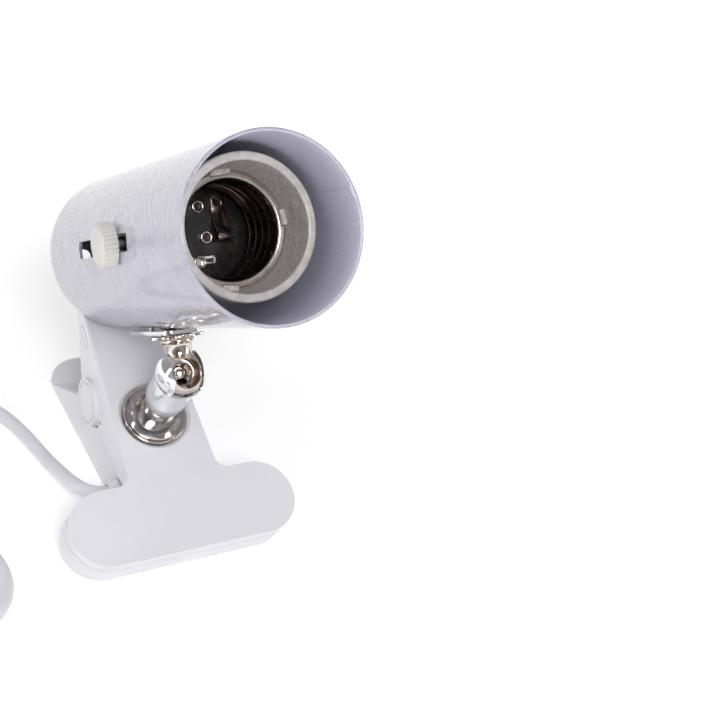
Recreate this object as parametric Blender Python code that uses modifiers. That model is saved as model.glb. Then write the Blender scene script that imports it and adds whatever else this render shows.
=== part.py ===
"""Clip-on heat lamp fixture: a steel tube shade round a ceramic E27 lampholder, on a swivel post and a spring clip.

Two frames are used. In the clip frame the origin is the post's centre on the front half's face, +X runs
along the jaws, +Y from the front half to the rear half, and +Z up the handles. In the head frame the origin
is the swivel ball's centre, +Y runs from the shade's mouth to its tail, and +Z up the threaded neck.
An empty lays the clip frame on its back, so that the rear half's flat back rests on the ground.
"""

import math

import bmesh
import bpy
from mathutils import Matrix, Vector

MM = 0.001
GAP = 0.3 * MM  # between pieces that touch

# How the fixture lies and stands
SPLAY = math.radians(24.5)  # rear handle's slope from the jaws' plane
HEAD_TILT = math.radians(28.6)
HEAD_YAW = math.radians(-3.2)
STAND_SHIFT = Vector((0.0, -0.03647, 0.0))  # puts the origin under the middle of the fixture

# Clip: jaws and handles
JAW_R = 12.3 * MM
JAW_CENTRE_X = 25.7 * MM
JAW_Z = -34.5 * MM
JAW_TOP = JAW_Z + JAW_R
ARM_TAPER = 0.038  # half width lost for each metre up
ARM_HALF_AT_RING = 14.34 * MM
ARM_TOP = 45.5 * MM
ARM_CORNER_R = 9.0 * MM
FILLET_R = 4.0 * MM
FRONT_JAW_DEPTH = 5.2 * MM
REAR_JAW_FACE = 5.5 * MM
REAR_JAW_BACK = 12.9 * MM
FACE_WALL = 2.2 * MM
SIDE_WALL = 1.8 * MM
PAD_DEPTH = 2.3 * MM
PAD_INSET = 2.0 * MM
PIVOT_Y = 16.0 * MM
PIVOT_Z = 14.5 * MM
EAR_R = 8.2 * MM
EAR_PROUD = 1.5 * MM
PIN_R = 1.5 * MM
PIN_HALF = 14.0 * MM
REAR_HALF_WIDTH = 12.9 * MM
REAR_WALL = 2.0 * MM
TAB_OUT = 11.4 * MM
REAR_LENGTH = 104.5 * MM  # along the back, from the jaw's lower edge to the handle's tip
GROMMET_ALONG = 29.0 * MM
GROMMET_HEIGHT = 8.0 * MM

# Swivel
RECESS_R = 12.0 * MM
RECESS_FLOOR = 2.0 * MM
BOSS_R = 13.0 * MM
BOSS_BACK = 4.6 * MM
STUD_R = 3.4 * MM
POST_R = 6.8 * MM
HOOD_R = 8.0 * MM
BALL_R = 7.2 * MM
BALL_OUT = 29.2 * MM  # ball centre in front of the clip's face
SLOT_HALF = 4.7 * MM
NECK_R = 4.3 * MM
THREAD_R = 4.7 * MM

# Head
SHADE_R = 25.0 * MM
SHADE_WALL = 0.9 * MM
SHADE_BOTTOM = 13.9 * MM
MOUTH_Y = -81.4 * MM
TAIL_Y = 40.1 * MM
AXIS_Z = SHADE_BOTTOM + SHADE_R
HOLDER_Z = AXIS_Z + 1.4 * MM  # the lampholder sits a little above the shade's axis
HOLDER_FRONT = -64.7 * MM
HOLDER_BACK = -18.5 * MM
SHELL_FRONT = -52.8 * MM
SHELL_BACK = -33.0 * MM
FLOOR_Y = -30.7 * MM
KNOB_Y = -28.5 * MM
KNOB_Z = AXIS_Z + 1.25 * MM
SLOT_Y = (-39.8 * MM, 6.0 * MM)
SLOT_WIDTH = 5.0 * MM

# Cord
CORD_R = 2.3 * MM
COIL_CENTRE = (-94.0 * MM, 64.6 * MM)  # in the lying frame, across and along
COIL_MID_R = 27.5 * MM
COIL_HALF_WIDTH = 9.6 * MM
COIL_TOP = 9.6 * MM
PLUG_ALONG = -10.2 * MM
PLUG_START = -80.0 * MM
PIN_SPACING = 12.7 * MM

# ---------------------------------------------------------------- helpers
def clear_scene():
    for old in list(bpy.data.objects):
        bpy.data.objects.remove(old, do_unlink=True)


def collection(name):
    made = bpy.data.collections.new(name)
    bpy.context.scene.collection.children.link(made)
    return made


def material(name, colour, roughness, metallic=0.0):
    made = bpy.data.materials.new(name)
    made.use_nodes = True
    shader = made.node_tree.nodes["Principled BSDF"]
    shader.inputs["Base Color"].default_value = (*colour, 1.0)
    shader.inputs["Roughness"].default_value = roughness
    shader.inputs["Metallic"].default_value = metallic
    return made


def empty(name, parent=None, location=(0, 0, 0), turn=None):
    made = bpy.data.objects.new(name, None)
    made.empty_display_size = 0.01
    made.parent = parent
    made.location = location
    if turn is not None:
        made.rotation_euler = turn.to_euler()
    PARTS.objects.link(made)
    return made


def solid(obj):
    """The object's evaluated mesh with its loose caps welded and its faces turned outwards."""
    bpy.context.view_layer.update()
    graph = bpy.context.evaluated_depsgraph_get()
    mesh = bpy.data.meshes.new_from_object(obj.evaluated_get(graph))
    work = bmesh.new()
    work.from_mesh(mesh)
    bmesh.ops.remove_doubles(work, verts=work.verts, dist=1e-6)
    loose = [edge for edge in work.edges if not edge.link_faces]
    bmesh.ops.delete(work, geom=loose, context="EDGES")
    bmesh.ops.recalc_face_normals(work, faces=work.faces)
    work.to_mesh(mesh)
    work.free()
    return mesh


def blank(name, data):
    made = bpy.data.objects.new(name, data)
    PARTS.objects.link(made)
    return made


def baked(obj, matrix=None):
    """A mesh object in place of obj, with obj's modifiers and the matrix applied."""
    mesh = solid(obj)
    if matrix is not None:
        mesh.transform(matrix)
    made = blank(obj.name + "_solid", mesh)
    bpy.data.objects.remove(obj, do_unlink=True)
    return made


def box(low, high):
    work = bmesh.new()
    bmesh.ops.create_cube(work, size=1.0)
    size = [h - l for l, h in zip(low, high)]
    middle = [(h + l) / 2 for l, h in zip(low, high)]
    bmesh.ops.scale(work, vec=size, verts=work.verts)
    bmesh.ops.translate(work, vec=middle, verts=work.verts)
    mesh = bpy.data.meshes.new("box")
    work.to_mesh(mesh)
    work.free()
    return blank("box", mesh)


def along(axis, centre=(0, 0, 0)):
    """The matrix that turns local +Z to the axis (+Y or +X, or -Y) and moves the origin to centre."""
    turns = {
        "Z": Matrix.Identity(4),
        "Y": Matrix.Rotation(math.radians(-90), 4, "X"),
        "-Y": Matrix.Rotation(math.radians(90), 4, "X"),
        "X": Matrix.Rotation(math.radians(90), 4, "Y"),
        "-X": Matrix.Rotation(math.radians(-90), 4, "Y"),
    }
    return Matrix.Translation(centre) @ turns[axis]


def rod(radius, start, end, axis="Z", centre=(0, 0, 0), sides=24):
    """A cylinder from start to end along the axis through centre."""
    work = bmesh.new()
    bmesh.ops.create_cone(
        work, cap_ends=True, segments=sides, radius1=radius, radius2=radius, depth=end - start
    )
    bmesh.ops.translate(work, vec=(0, 0, (start + end) / 2), verts=work.verts)
    mesh = bpy.data.meshes.new("rod")
    work.to_mesh(mesh)
    work.free()
    mesh.transform(along(axis, centre))
    return blank("rod", mesh)


def turned(profile, axis="Z", centre=(0, 0, 0), steps=32):
    """A profile of (radius, height) points, closed on itself, swept round the axis."""
    mesh = bpy.data.meshes.new("profile")
    points = [(r, 0.0, z) for r, z in profile]
    edges = [(i, (i + 1) % len(points)) for i in range(len(points))]
    mesh.from_pydata(points, edges, [])
    obj = blank("turned", mesh)
    screw = obj.modifiers.new("turn", "SCREW")
    screw.steps = screw.render_steps = steps
    screw.use_merge_vertices = True
    screw.merge_threshold = 1e-5
    return baked(obj, along(axis, centre))


def extruded(outline, low, high, plane="XZ"):
    """A flat outline made thick from low to high along the plane's normal: Y for XZ, X for YZ, Z for XY."""
    curve = bpy.data.curves.new("outline", "CURVE")
    curve.dimensions = "2D"
    curve.fill_mode = "BOTH"
    curve.extrude = (high - low) / 2
    line = curve.splines.new("POLY")
    line.points.add(len(outline) - 1)
    for point, (a, b) in zip(line.points, outline):
        point.co = (a, b, 0.0, 1.0)
    line.use_cyclic_u = True
    middle = (high + low) / 2
    columns = {
        "XZ": ((1, 0, 0), (0, 0, 1), (0, -1, 0), (0, middle, 0)),
        "YZ": ((0, 1, 0), (0, 0, 1), (1, 0, 0), (middle, 0, 0)),
        "XY": ((1, 0, 0), (0, 1, 0), (0, 0, 1), (0, 0, middle)),
    }[plane]
    matrix = Matrix.Identity(4)
    for i in range(3):
        for j in range(3):
            matrix[j][i] = columns[i][j]
        matrix[i][3] = columns[3][i]
    return baked(blank("extruded", curve), matrix)


def wire(points, radius, resolution=2):
    curve = bpy.data.curves.new("wire", "CURVE")
    curve.dimensions = "3D"
    curve.bevel_depth = radius
    curve.bevel_resolution = resolution
    curve.use_fill_caps = True
    line = curve.splines.new("POLY")
    line.points.add(len(points) - 1)
    for point, place in zip(line.points, points):
        point.co = (*place, 1.0)
    return baked(blank("wire", curve))


def combine(piece, tool, operation):
    step = piece.modifiers.new(operation.lower(), "BOOLEAN")
    step.operation = operation
    step.solver = "EXACT"
    step.object = tool
    mesh = solid(piece)
    piece.modifiers.clear()
    piece.data = mesh
    bpy.data.objects.remove(tool, do_unlink=True)
    return piece


def cut(piece, *tools):
    for tool in tools:
        combine(piece, tool, "DIFFERENCE")
    return piece


def join(piece, *tools):
    for tool in tools:
        combine(piece, tool, "UNION")
    return piece


def finish(piece, name, look, parent, smooth=True):
    piece.name = name
    piece.data.name = name
    piece.data.materials.clear()
    piece.data.materials.append(look)
    if smooth:
        piece.data.shade_smooth()
        piece.data.set_sharp_from_angle(angle=math.radians(35))
    piece.parent = parent
    return piece


def arc(centre, radius, start, end, steps):
    """Points on a circle from start to end, in degrees, both ends included."""
    found = []
    for i in range(steps + 1):
        angle = math.radians(start + (end - start) * i / steps)
        found.append((centre[0] + radius * math.cos(angle), centre[1] + radius * math.sin(angle)))
    return found


def smooth_line(knots, spacing):
    """Points about a spacing apart on the smooth curve through the knots."""
    ends = [knots[0] * 2 - knots[1], *knots, knots[-1] * 2 - knots[-2]]
    found = [knots[0]]
    for i in range(1, len(ends) - 2):
        a, b, c, d = ends[i - 1 : i + 3]
        pieces = max(1, round((c - b).length / spacing))
        for k in range(1, pieces + 1):
            t = k / pieces
            found.append(
                0.5
                * (
                    2 * b
                    + (c - a) * t
                    + (2 * a - 5 * b + 4 * c - d) * t**2
                    + (3 * b - a - 3 * c + d) * t**3
                )
            )
    return found


# ---------------------------------------------------------------- clip outlines
def arm_half(z):
    return ARM_HALF_AT_RING - ARM_TAPER * z


def stadium(inset=0.0, steps=14):
    r = JAW_R - inset
    right = arc((JAW_CENTRE_X, JAW_Z), r, -90, 90, steps)
    left = arc((-JAW_CENTRE_X, JAW_Z), r, 90, 270, steps)
    return right + left


def tee():
    """The front half's outline: round-ended jaw, fillets, tapered arm and round-cornered handle."""
    top_half = arm_half(ARM_TOP)
    root_z = JAW_TOP + FILLET_R
    root_x = arm_half(root_z) + FILLET_R
    corner = (top_half - ARM_CORNER_R, ARM_TOP - ARM_CORNER_R)
    right = arc((JAW_CENTRE_X, JAW_Z), JAW_R, -90, 90, 14)
    right += arc((root_x, root_z), FILLET_R, 270, 180, 5)
    right += arc(corner, ARM_CORNER_R, 0, 90, 6)
    left = [(-x, z) for x, z in reversed(right)]
    return right + left


# ---------------------------------------------------------------- front half of the clip
def front_wall_profile():
    """Side wall seen from the side: shallow at the jaw, round at the pivot, tapering to the tip."""
    ear = arc((PIVOT_Y, PIVOT_Z), EAR_R, -95, 52, 10)
    points = [(0.6, -21.0), (6.4, -21.0), (7.0, -18.7)]
    tip = [(5.2, 43.0), (0.6, 43.0)]
    return [(y * MM, z * MM) for y, z in points] + ear + [(y * MM, z * MM) for y, z in tip]


def side_wall(side):
    lean = math.atan(ARM_TAPER)
    wall = extruded(front_wall_profile(), -SIDE_WALL, 0.0, "YZ")
    ear = rod(EAR_R, -0.6 * MM, EAR_PROUD, "X", (0, PIVOT_Y, PIVOT_Z), 28)
    join(wall, ear)
    if side < 0:
        wall.data.transform(Matrix.Scale(-1, 4, (1, 0, 0)))
        wall.data.flip_normals()
    wall.data.transform(Matrix.Rotation(-side * lean, 4, "Y"))
    wall.data.transform(Matrix.Translation((side * ARM_HALF_AT_RING, 0, 0)))
    return wall


def make_front_clip_half():
    piece = extruded(tee(), 0.0, FRONT_JAW_DEPTH, "XZ")
    hollow_z = (JAW_TOP + 1.0 * MM, ARM_TOP - 2.2 * MM)
    inner = [
        (arm_half(hollow_z[0]) - SIDE_WALL, hollow_z[0]),
        (arm_half(hollow_z[1]) - SIDE_WALL - 5.0 * MM, hollow_z[1]),
    ]
    shoulder = (arm_half(36.0 * MM) - SIDE_WALL, 37.0 * MM)
    right = [inner[0], shoulder, inner[1]]
    left = [(-x, z) for x, z in reversed(right)]
    cut(piece, extruded(right + left, FACE_WALL, 8 * MM, "XZ"))
    pocket_floor = FRONT_JAW_DEPTH - PAD_DEPTH - GAP
    cut(piece, extruded(stadium(PAD_INSET), pocket_floor, 8 * MM, "XZ"))
    join(piece, side_wall(1), side_wall(-1))
    join(piece, rod(BOSS_R - 1.0 * MM, 1.0 * MM, BOSS_BACK, "Y", sides=32))
    floor_r = RECESS_R - 1.0 * MM
    dish = [(0, -1 * MM), (RECESS_R + 1 * MM, -1 * MM), (RECESS_R, 0.0)]
    dish += [(floor_r, 1 * MM), (floor_r, RECESS_FLOOR), (0, RECESS_FLOOR)]
    cut(piece, rod(STUD_R + GAP, -2 * MM, 8 * MM, "Y", sides=24))
    cut(piece, turned(dish, "Y", steps=36))
    pin_bore = rod(PIN_R + 0.2 * MM, -PIN_HALF - GAP, PIN_HALF + GAP, "X", (0, PIVOT_Y, PIVOT_Z), 16)
    cut(piece, pin_bore)
    return finish(piece, "front_clip_half", WHITE_PLASTIC, FRONT)


def make_front_jaw_pad():
    low = FRONT_JAW_DEPTH - PAD_DEPTH
    piece = extruded(stadium(PAD_INSET + GAP, 10), low, FRONT_JAW_DEPTH, "XZ")
    return finish(piece, "front_jaw_pad", SOFT_RUBBER, FRONT)


# ---------------------------------------------------------------- rear half of the clip
def lying(across, along_back, height):
    """A point given across the jaws, along the rear half's back from its lower edge, and above the ground."""
    y = REAR_JAW_BACK + along_back * math.sin(SPLAY) - height * math.cos(SPLAY)
    z = JAW_Z - JAW_R + along_back * math.cos(SPLAY) + height * math.sin(SPLAY)
    return Vector((across, y, z))


def lying_matrix():
    """Turns across, along, height to the clip frame."""
    origin = lying(0, 0, 0)
    matrix = Matrix.Identity(4)
    for i, step in enumerate(((1, 0, 0), (0, 1, 0), (0, 0, 1))):
        column = lying(*step) - origin
        for j in range(3):
            matrix[j][i] = column[j]
    for j in range(3):
        matrix[j][3] = origin[j]
    return matrix


def rear_wall_profile():
    """Side wall seen from the side, between the jaw, the front half's edge, the pivot and the tip."""
    clear = arc((PIVOT_Y, PIVOT_Z), EAR_R + 0.55 * MM, 35, -88, 10)
    tip = lying(0, 96 * MM, 1.0 * MM)
    low = lying(0, 4 * MM, 1.0 * MM)
    front = [(50.0, 38.0), (27.4, 22.4)]
    jaw = [(7.6, -18.9), (7.0, -21.4), (8.0, -43.0)]
    points = [(low.y, low.z), (tip.y, tip.z)]
    points += [(y * MM, z * MM) for y, z in front] + clear
    points += [(y * MM, z * MM) for y, z in jaw]
    return points


def tab_profile():
    root = [(26.5, 8.5), (26.5, 20.0)]
    disc = arc((PIVOT_Y, PIVOT_Z), 6.2 * MM, 70, 290, 12)
    return [(y * MM, z * MM) for y, z in root] + disc


def make_rear_clip_half():
    piece = extruded(stadium(), REAR_JAW_FACE, REAR_JAW_BACK, "XZ")
    tip_r = REAR_HALF_WIDTH
    straight = REAR_LENGTH - tip_r
    outline = [(-REAR_HALF_WIDTH, 0.6 * MM), (REAR_HALF_WIDTH, 0.6 * MM)]
    outline += arc((0, straight), tip_r, 0, 180, 16)
    back = extruded(outline, 0.0, FACE_WALL, "XY")
    back.data.transform(lying_matrix())
    join(piece, back)
    for side in (1, -1):
        outer, inner = REAR_HALF_WIDTH, REAR_HALF_WIDTH - REAR_WALL
        low, high = sorted((side * outer, side * inner))
        join(piece, extruded(rear_wall_profile(), low, high, "YZ"))
        low, high = sorted((side * TAB_OUT, side * (TAB_OUT - 2.0 * MM)))
        join(piece, extruded(tab_profile(), low, high, "YZ"))
    for place in (52 * MM, 74 * MM):
        rib = box(
            (-REAR_HALF_WIDTH + 1 * MM, place, 1 * MM), (REAR_HALF_WIDTH - 1 * MM, place + 1.4 * MM, 6 * MM)
        )
        rib.data.transform(lying_matrix())
        join(piece, rib)
    cut(piece, extruded(stadium(PAD_INSET), 0, REAR_JAW_FACE + PAD_DEPTH + GAP, "XZ"))
    cut(piece, rod(PIN_R + 0.2 * MM, -13 * MM, 13 * MM, "X", (0, PIVOT_Y, PIVOT_Z), 16))
    exit_at = lying(0, GROMMET_ALONG, GROMMET_HEIGHT)
    cut(piece, rod(3.4 * MM, -15 * MM, -9 * MM, "X", exit_at, 20))
    return finish(piece, "rear_clip_half", WHITE_PLASTIC, CLIP)


def make_rear_jaw_pad():
    piece = extruded(stadium(PAD_INSET + GAP, 10), REAR_JAW_FACE, REAR_JAW_FACE + PAD_DEPTH, "XZ")
    return finish(piece, "rear_jaw_pad", SOFT_RUBBER, CLIP)


def make_pivot_pin():
    piece = rod(PIN_R, -PIN_HALF, PIN_HALF, "X", (0, PIVOT_Y, PIVOT_Z), 16)
    return finish(piece, "pivot_pin", STEEL, CLIP)


def make_torsion_spring():
    """Six turns round the pivot pin, with one leg on each handle."""
    turns, per_turn, coil_r, half = 6, 12, 4.0 * MM, 6.6 * MM
    points = [Vector((-half, 3.3 * MM, 37 * MM)), Vector((-half, 6.5 * MM, 30 * MM))]
    start, sweep = 155.0, 360.0 * turns - 100.0
    count = turns * per_turn
    for i in range(count + 1):
        angle = math.radians(start + sweep * i / count)
        x = -half + 2 * half * i / count
        points.append(Vector((x, PIVOT_Y + coil_r * math.cos(angle), PIVOT_Z + coil_r * math.sin(angle))))
    tip = lying(half, 84 * MM, FACE_WALL + 1.1 * MM)
    points.append(Vector((half, 20.5 * MM, 19.0 * MM)).lerp(tip, 0.25))
    points.append(tip)
    return finish(wire(points, 0.65 * MM, 1), "torsion_spring", STEEL, CLIP)


def make_cord_grommet():
    centre = lying(0, GROMMET_ALONG, GROMMET_HEIGHT)
    bore = CORD_R + GAP
    out = REAR_HALF_WIDTH + GAP
    inside = REAR_HALF_WIDTH - REAR_WALL - GAP
    profile = [(bore, out + 3.4 * MM), (3.1 * MM, out + 3.4 * MM), (4.3 * MM, out + 1.2 * MM)]
    profile += [(4.3 * MM, out), (3.1 * MM, out), (3.1 * MM, inside), (4.0 * MM, inside)]
    profile += [(4.0 * MM, inside - 1.2 * MM), (bore, inside - 1.2 * MM)]
    return finish(turned(profile, "-X", centre, 20), "cord_grommet", SOFT_RUBBER, CLIP)


# ---------------------------------------------------------------- swivel post
def make_base_ring():
    rim, foot = RECESS_R - 1.4 * MM, POST_R + GAP
    profile = [(rim, 0.5 * MM), (rim - 0.6 * MM, 0.1 * MM), (foot + 1.2 * MM, 1.0 * MM), (foot, 1.1 * MM)]
    profile += [(foot, RECESS_FLOOR - GAP), (rim, RECESS_FLOOR - GAP)]
    return finish(turned(profile, "Y", steps=40), "base_ring", CHROME, FRONT)


def make_swivel_post():
    """A hollow post whose round head is slotted for the neck, with a threaded stud behind."""
    foot = -(RECESS_FLOOR - GAP)
    join_at = BALL_OUT - math.sqrt(HOOD_R**2 - POST_R**2)
    start = math.degrees(math.atan2(join_at - BALL_OUT, POST_R))
    outer = arc((0, BALL_OUT), HOOD_R, 90, start, 12)
    profile = [*outer, (POST_R, foot), (STUD_R, foot), (STUD_R, -10.5 * MM), (0, -10.5 * MM)]
    piece = turned(profile, "-Y", steps=36)
    cut(piece, rod(2.0 * MM, -12 * MM, BALL_OUT, "-Y", sides=16))
    cavity_r = BALL_R + 0.15 * MM
    cut(piece, turned(arc((0, BALL_OUT), cavity_r, 90, -90, 16), "-Y", steps=32))
    slot_low = BALL_OUT - 1.35 * MM
    cut(piece, box((-SLOT_HALF, -BALL_OUT - 12 * MM, -12 * MM), (SLOT_HALF, -slot_low, 12 * MM)))
    return finish(piece, "swivel_post", CHROME, POST)


def hexagon(across_flats):
    return arc((0, 0), across_flats / 2 / math.cos(math.radians(30)), 0, 300, 5)


def make_post_nut():
    piece = extruded(hexagon(10.5 * MM), BOSS_BACK + 1.2 * MM, BOSS_BACK + 4.6 * MM, "XZ")
    cut(piece, rod(STUD_R + 0.2 * MM, 0, 12 * MM, "Y", sides=20))
    return finish(piece, "post_nut", STEEL, POST, smooth=False)


def make_post_washer():
    low, high = BOSS_BACK + GAP, BOSS_BACK + 0.9 * MM
    r_in, r_out = STUD_R + GAP, 6.6 * MM
    piece = turned([(r_in, high), (r_out, high), (r_out, low), (r_in, low)], "Y", steps=28)
    return finish(piece, "post_washer", STEEL, POST)


def make_post_lead():
    points = [Vector((0, 9.5 * MM, 0)), Vector((0, 0, 0)), Vector((0, -21.0 * MM, 0))]
    return finish(wire(points, 1.5 * MM, 1), "post_lead", WHITE_CABLE, POST)


# ---------------------------------------------------------------- head
def make_swivel_neck():
    """A hollow ball on a threaded tube; the ball is open at the front and below."""
    bore, inner = 3.0 * MM, 5.7 * MM
    collar = (9.5 * MM, 10.5 * MM)
    meet = math.degrees(math.acos(NECK_R / BALL_R))
    low = math.degrees(math.acos(bore / BALL_R))
    deep = math.degrees(math.acos(bore / inner))
    profile = [(bore, 21.8 * MM), (THREAD_R, 21.8 * MM), (THREAD_R, collar[1]), (5.4 * MM, collar[1])]
    profile += [(5.4 * MM, collar[0]), (NECK_R, collar[0] - 0.5 * MM)]
    profile += arc((0, 0), BALL_R, meet, -low, 11)
    profile += arc((0, 0), inner, -deep, deep, 8)
    piece = turned(profile, "Z", steps=30)
    cut(piece, rod(4.6 * MM, 0, 10 * MM, "-Y", sides=24))
    return finish(piece, "swivel_neck", CHROME, HEAD)


def make_star_washer():
    teeth, low, high = 18, 10.8 * MM, 11.9 * MM
    outline = []
    for i in range(teeth * 4):
        radius = 8.4 * MM if i % 4 < 2 else 7.3 * MM
        outline.append(arc((0, 0), radius, 360 * i / teeth / 4, 0, 1)[0])
    piece = extruded(outline, low, high, "XY")
    cut(piece, rod(THREAD_R + 0.25 * MM, 0, 20 * MM, sides=24))
    return finish(piece, "star_washer", CHROME, HEAD)


def make_bracket_plate():
    half, low, high = 6.5 * MM, 12.3 * MM, 13.5 * MM
    outline = arc((half - 3 * MM, -4.7 * MM), 3 * MM, -90, 0, 4)
    outline += arc((half - 3 * MM, 25.5 * MM), 3 * MM, 0, 90, 4)
    outline += [(-x, y) for x, y in reversed(outline)]
    piece = extruded(outline, low, high, "XY")
    cut(piece, rod(THREAD_R + 0.25 * MM, 0, 20 * MM, sides=24))
    cut(piece, rod(1.75 * MM, 0, 20 * MM, centre=(0, 22 * MM, 0), sides=16))
    return finish(piece, "bracket_plate", CHROME, HEAD)


def make_plate_rivet():
    """Holds the plate to the shade: a dome below and a formed head inside."""
    top = SHADE_BOTTOM + SHADE_WALL + GAP
    profile = [(0, top + 0.9 * MM), (2.6 * MM, top + 0.5 * MM), (2.6 * MM, top), (1.4 * MM, top)]
    profile += [(1.4 * MM, 12.0 * MM), (2.7 * MM, 12.0 * MM), (2.2 * MM, 11.2 * MM), (0, 11.0 * MM)]
    return finish(turned(profile, "Z", (0, 22 * MM, 0), 20), "plate_rivet", STEEL, HEAD)


def make_shade_tube():
    outer, inner = SHADE_R, SHADE_R - SHADE_WALL
    profile = [(inner, MOUTH_Y), (outer, MOUTH_Y), (outer, TAIL_Y), (inner, TAIL_Y)]
    piece = turned(profile, "Y", (0, 0, AXIS_Z), 72)
    half = SLOT_WIDTH / 2
    cut(piece, box((-30 * MM, SLOT_Y[0], KNOB_Z - half), (-20 * MM, SLOT_Y[1], KNOB_Z + half)))
    cut(piece, rod(THREAD_R + GAP, 5 * MM, 20 * MM, sides=24))
    cut(piece, rod(1.75 * MM, 5 * MM, 20 * MM, centre=(0, 22 * MM, 0), sides=16))
    return finish(piece, "shade_tube", WHITE_PAINT, HEAD)


def make_shade_back_cap():
    outer = SHADE_R - SHADE_WALL - GAP
    front, back = TAIL_Y - 7 * MM, TAIL_Y - 0.8 * MM
    profile = [(0, back), (0, back - 0.8 * MM), (outer - 0.8 * MM, back - 0.8 * MM)]
    profile += [(outer - 0.8 * MM, front), (outer, front), (outer, back - 0.5 * MM), (outer - 0.5 * MM, back)]
    piece = turned(profile, "Y", (0, 0, AXIS_Z), 48)
    for i in range(8):
        x, z = arc((0, AXIS_Z), 14.5 * MM, 45 * i, 0, 1)[0]
        cut(piece, rod(2.3 * MM, 20 * MM, 60 * MM, "Y", (x, 0, z), 12))
    return finish(piece, "shade_back_cap", WHITE_PAINT, HEAD)


def make_nipple_nut():
    piece = extruded(hexagon(13.0 * MM), 17.7 * MM, 20.8 * MM, "XY")
    cut(piece, rod(THREAD_R + 0.2 * MM, 10 * MM, 30 * MM, sides=24))
    return finish(piece, "nipple_nut", STEEL, HEAD, smooth=False)


BRACKET_FRONT = HOLDER_BACK + GAP
BRACKET_THICK = 1.2 * MM
SCREW_RISE = 9.0 * MM


def make_socket_bracket():
    """A bent strip: its foot under the nipple nut, its upright against the lampholder's back."""
    low, top = 16.2 * MM, HOLDER_Z + SCREW_RISE + 4 * MM
    back = BRACKET_FRONT + BRACKET_THICK
    outline = [(BRACKET_FRONT, low), (7 * MM, low), (7 * MM, low + BRACKET_THICK), (back, low + BRACKET_THICK)]
    outline += [(back, top), (BRACKET_FRONT, top)]
    piece = extruded(outline, -6.5 * MM, 6.5 * MM, "YZ")
    cut(piece, rod(THREAD_R + 0.25 * MM, 5 * MM, 20 * MM, sides=24))
    for side in (1, -1):
        centre = (0, 0, HOLDER_Z + side * SCREW_RISE)
        cut(piece, rod(1.8 * MM, -30 * MM, 0, "Y", centre, 16))
    return finish(piece, "socket_bracket", STEEL, HEAD, smooth=False)


def make_socket_screw(name, side):
    """A pan head screw through the bracket into the lampholder's back."""
    centre = (0, 0, HOLDER_Z + side * SCREW_RISE)
    head = BRACKET_FRONT + BRACKET_THICK + GAP
    tip = HOLDER_BACK - 7 * MM
    profile = [(0, head + 1.6 * MM), (1.6 * MM, head + 1.5 * MM), (2.8 * MM, head + 0.8 * MM), (2.8 * MM, head)]
    profile += [(1.5 * MM, head), (1.5 * MM, tip + 1 * MM), (0, tip)]
    piece = turned(profile, "Y", centre, 18)
    low, high = centre[2] - 0.35 * MM, centre[2] + 0.35 * MM
    cut(piece, box((-4 * MM, head + 0.9 * MM, low), (4 * MM, head + 3 * MM, high)))
    return finish(piece, name, STEEL, HEAD)


def make_socket_body():
    """Glazed ceramic lampholder: a flared mouth, a bore for the threaded shell and a solid base."""
    profile = [(0, HOLDER_BACK), (0, FLOOR_Y), (15.0 * MM, FLOOR_Y), (15.0 * MM, -51.6 * MM)]
    profile += [(16.1 * MM, -51.6 * MM), (17.3 * MM, -63.9 * MM), (17.8 * MM, HOLDER_FRONT)]
    profile += [(19.2 * MM, HOLDER_FRONT), (19.7 * MM, HOLDER_FRONT + 0.6 * MM), (19.7 * MM, -46.0 * MM)]
    profile += [(17.0 * MM, -43.5 * MM), (17.0 * MM, HOLDER_BACK - 1 * MM), (16.0 * MM, HOLDER_BACK)]
    piece = turned(profile, "Y", (0, 0, HOLDER_Z), 48)
    for side in (1, -1):
        centre = (0, 0, HOLDER_Z + side * SCREW_RISE)
        cut(piece, rod(1.8 * MM, HOLDER_BACK - 8 * MM, HOLDER_BACK + 5 * MM, "Y", centre, 16))
        lead = (side * 9 * MM, 0, 38.0 * MM)
        cut(piece, rod(1.5 * MM, HOLDER_BACK - 6 * MM, HOLDER_BACK + 5 * MM, "Y", lead, 12))
    cut(piece, box((-20 * MM, -37 * MM, KNOB_Z - 8 * MM), (-14.6 * MM, -20 * MM, KNOB_Z + 8 * MM)))
    return finish(piece, "socket_body", CERAMIC, HEAD)


def make_screw_shell():
    """Rolled nickel-plated shell with a turned-out lip; three notches in the lip locate it."""
    lip, tube, wall = 15.7 * MM, 14.0 * MM, 0.7 * MM
    waves, per_wave = 3, 4
    outside, inside = [], []
    for i in range(waves * per_wave + 1):
        y = SHELL_FRONT + 1.5 * MM + (SHELL_BACK - SHELL_FRONT - 1.5 * MM) * i / (waves * per_wave)
        r = tube + 0.45 * MM * math.cos(2 * math.pi * i / per_wave)
        outside.append((r, y))
        inside.append((r - wall, y))
    profile = [(tube - 0.4 * MM, SHELL_FRONT), (lip, SHELL_FRONT), (lip, SHELL_FRONT + 0.8 * MM)]
    profile += [(tube + 0.45 * MM, SHELL_FRONT + 0.8 * MM), *outside, *reversed(inside)]
    piece = turned(profile, "Y", (0, 0, HOLDER_Z), 32)
    for angle in (8, 95, 262):
        notch = box((14.8 * MM, SHELL_FRONT - 1 * MM, -2.2 * MM), (17 * MM, SHELL_FRONT + 1 * MM, 2.2 * MM))
        notch.data.transform(Matrix.Rotation(math.radians(-angle), 4, "Y"))
        notch.data.transform(Matrix.Translation((0, 0, HOLDER_Z)))
        cut(piece, notch)
    return finish(piece, "screw_shell", NICKEL, HEAD)


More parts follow.
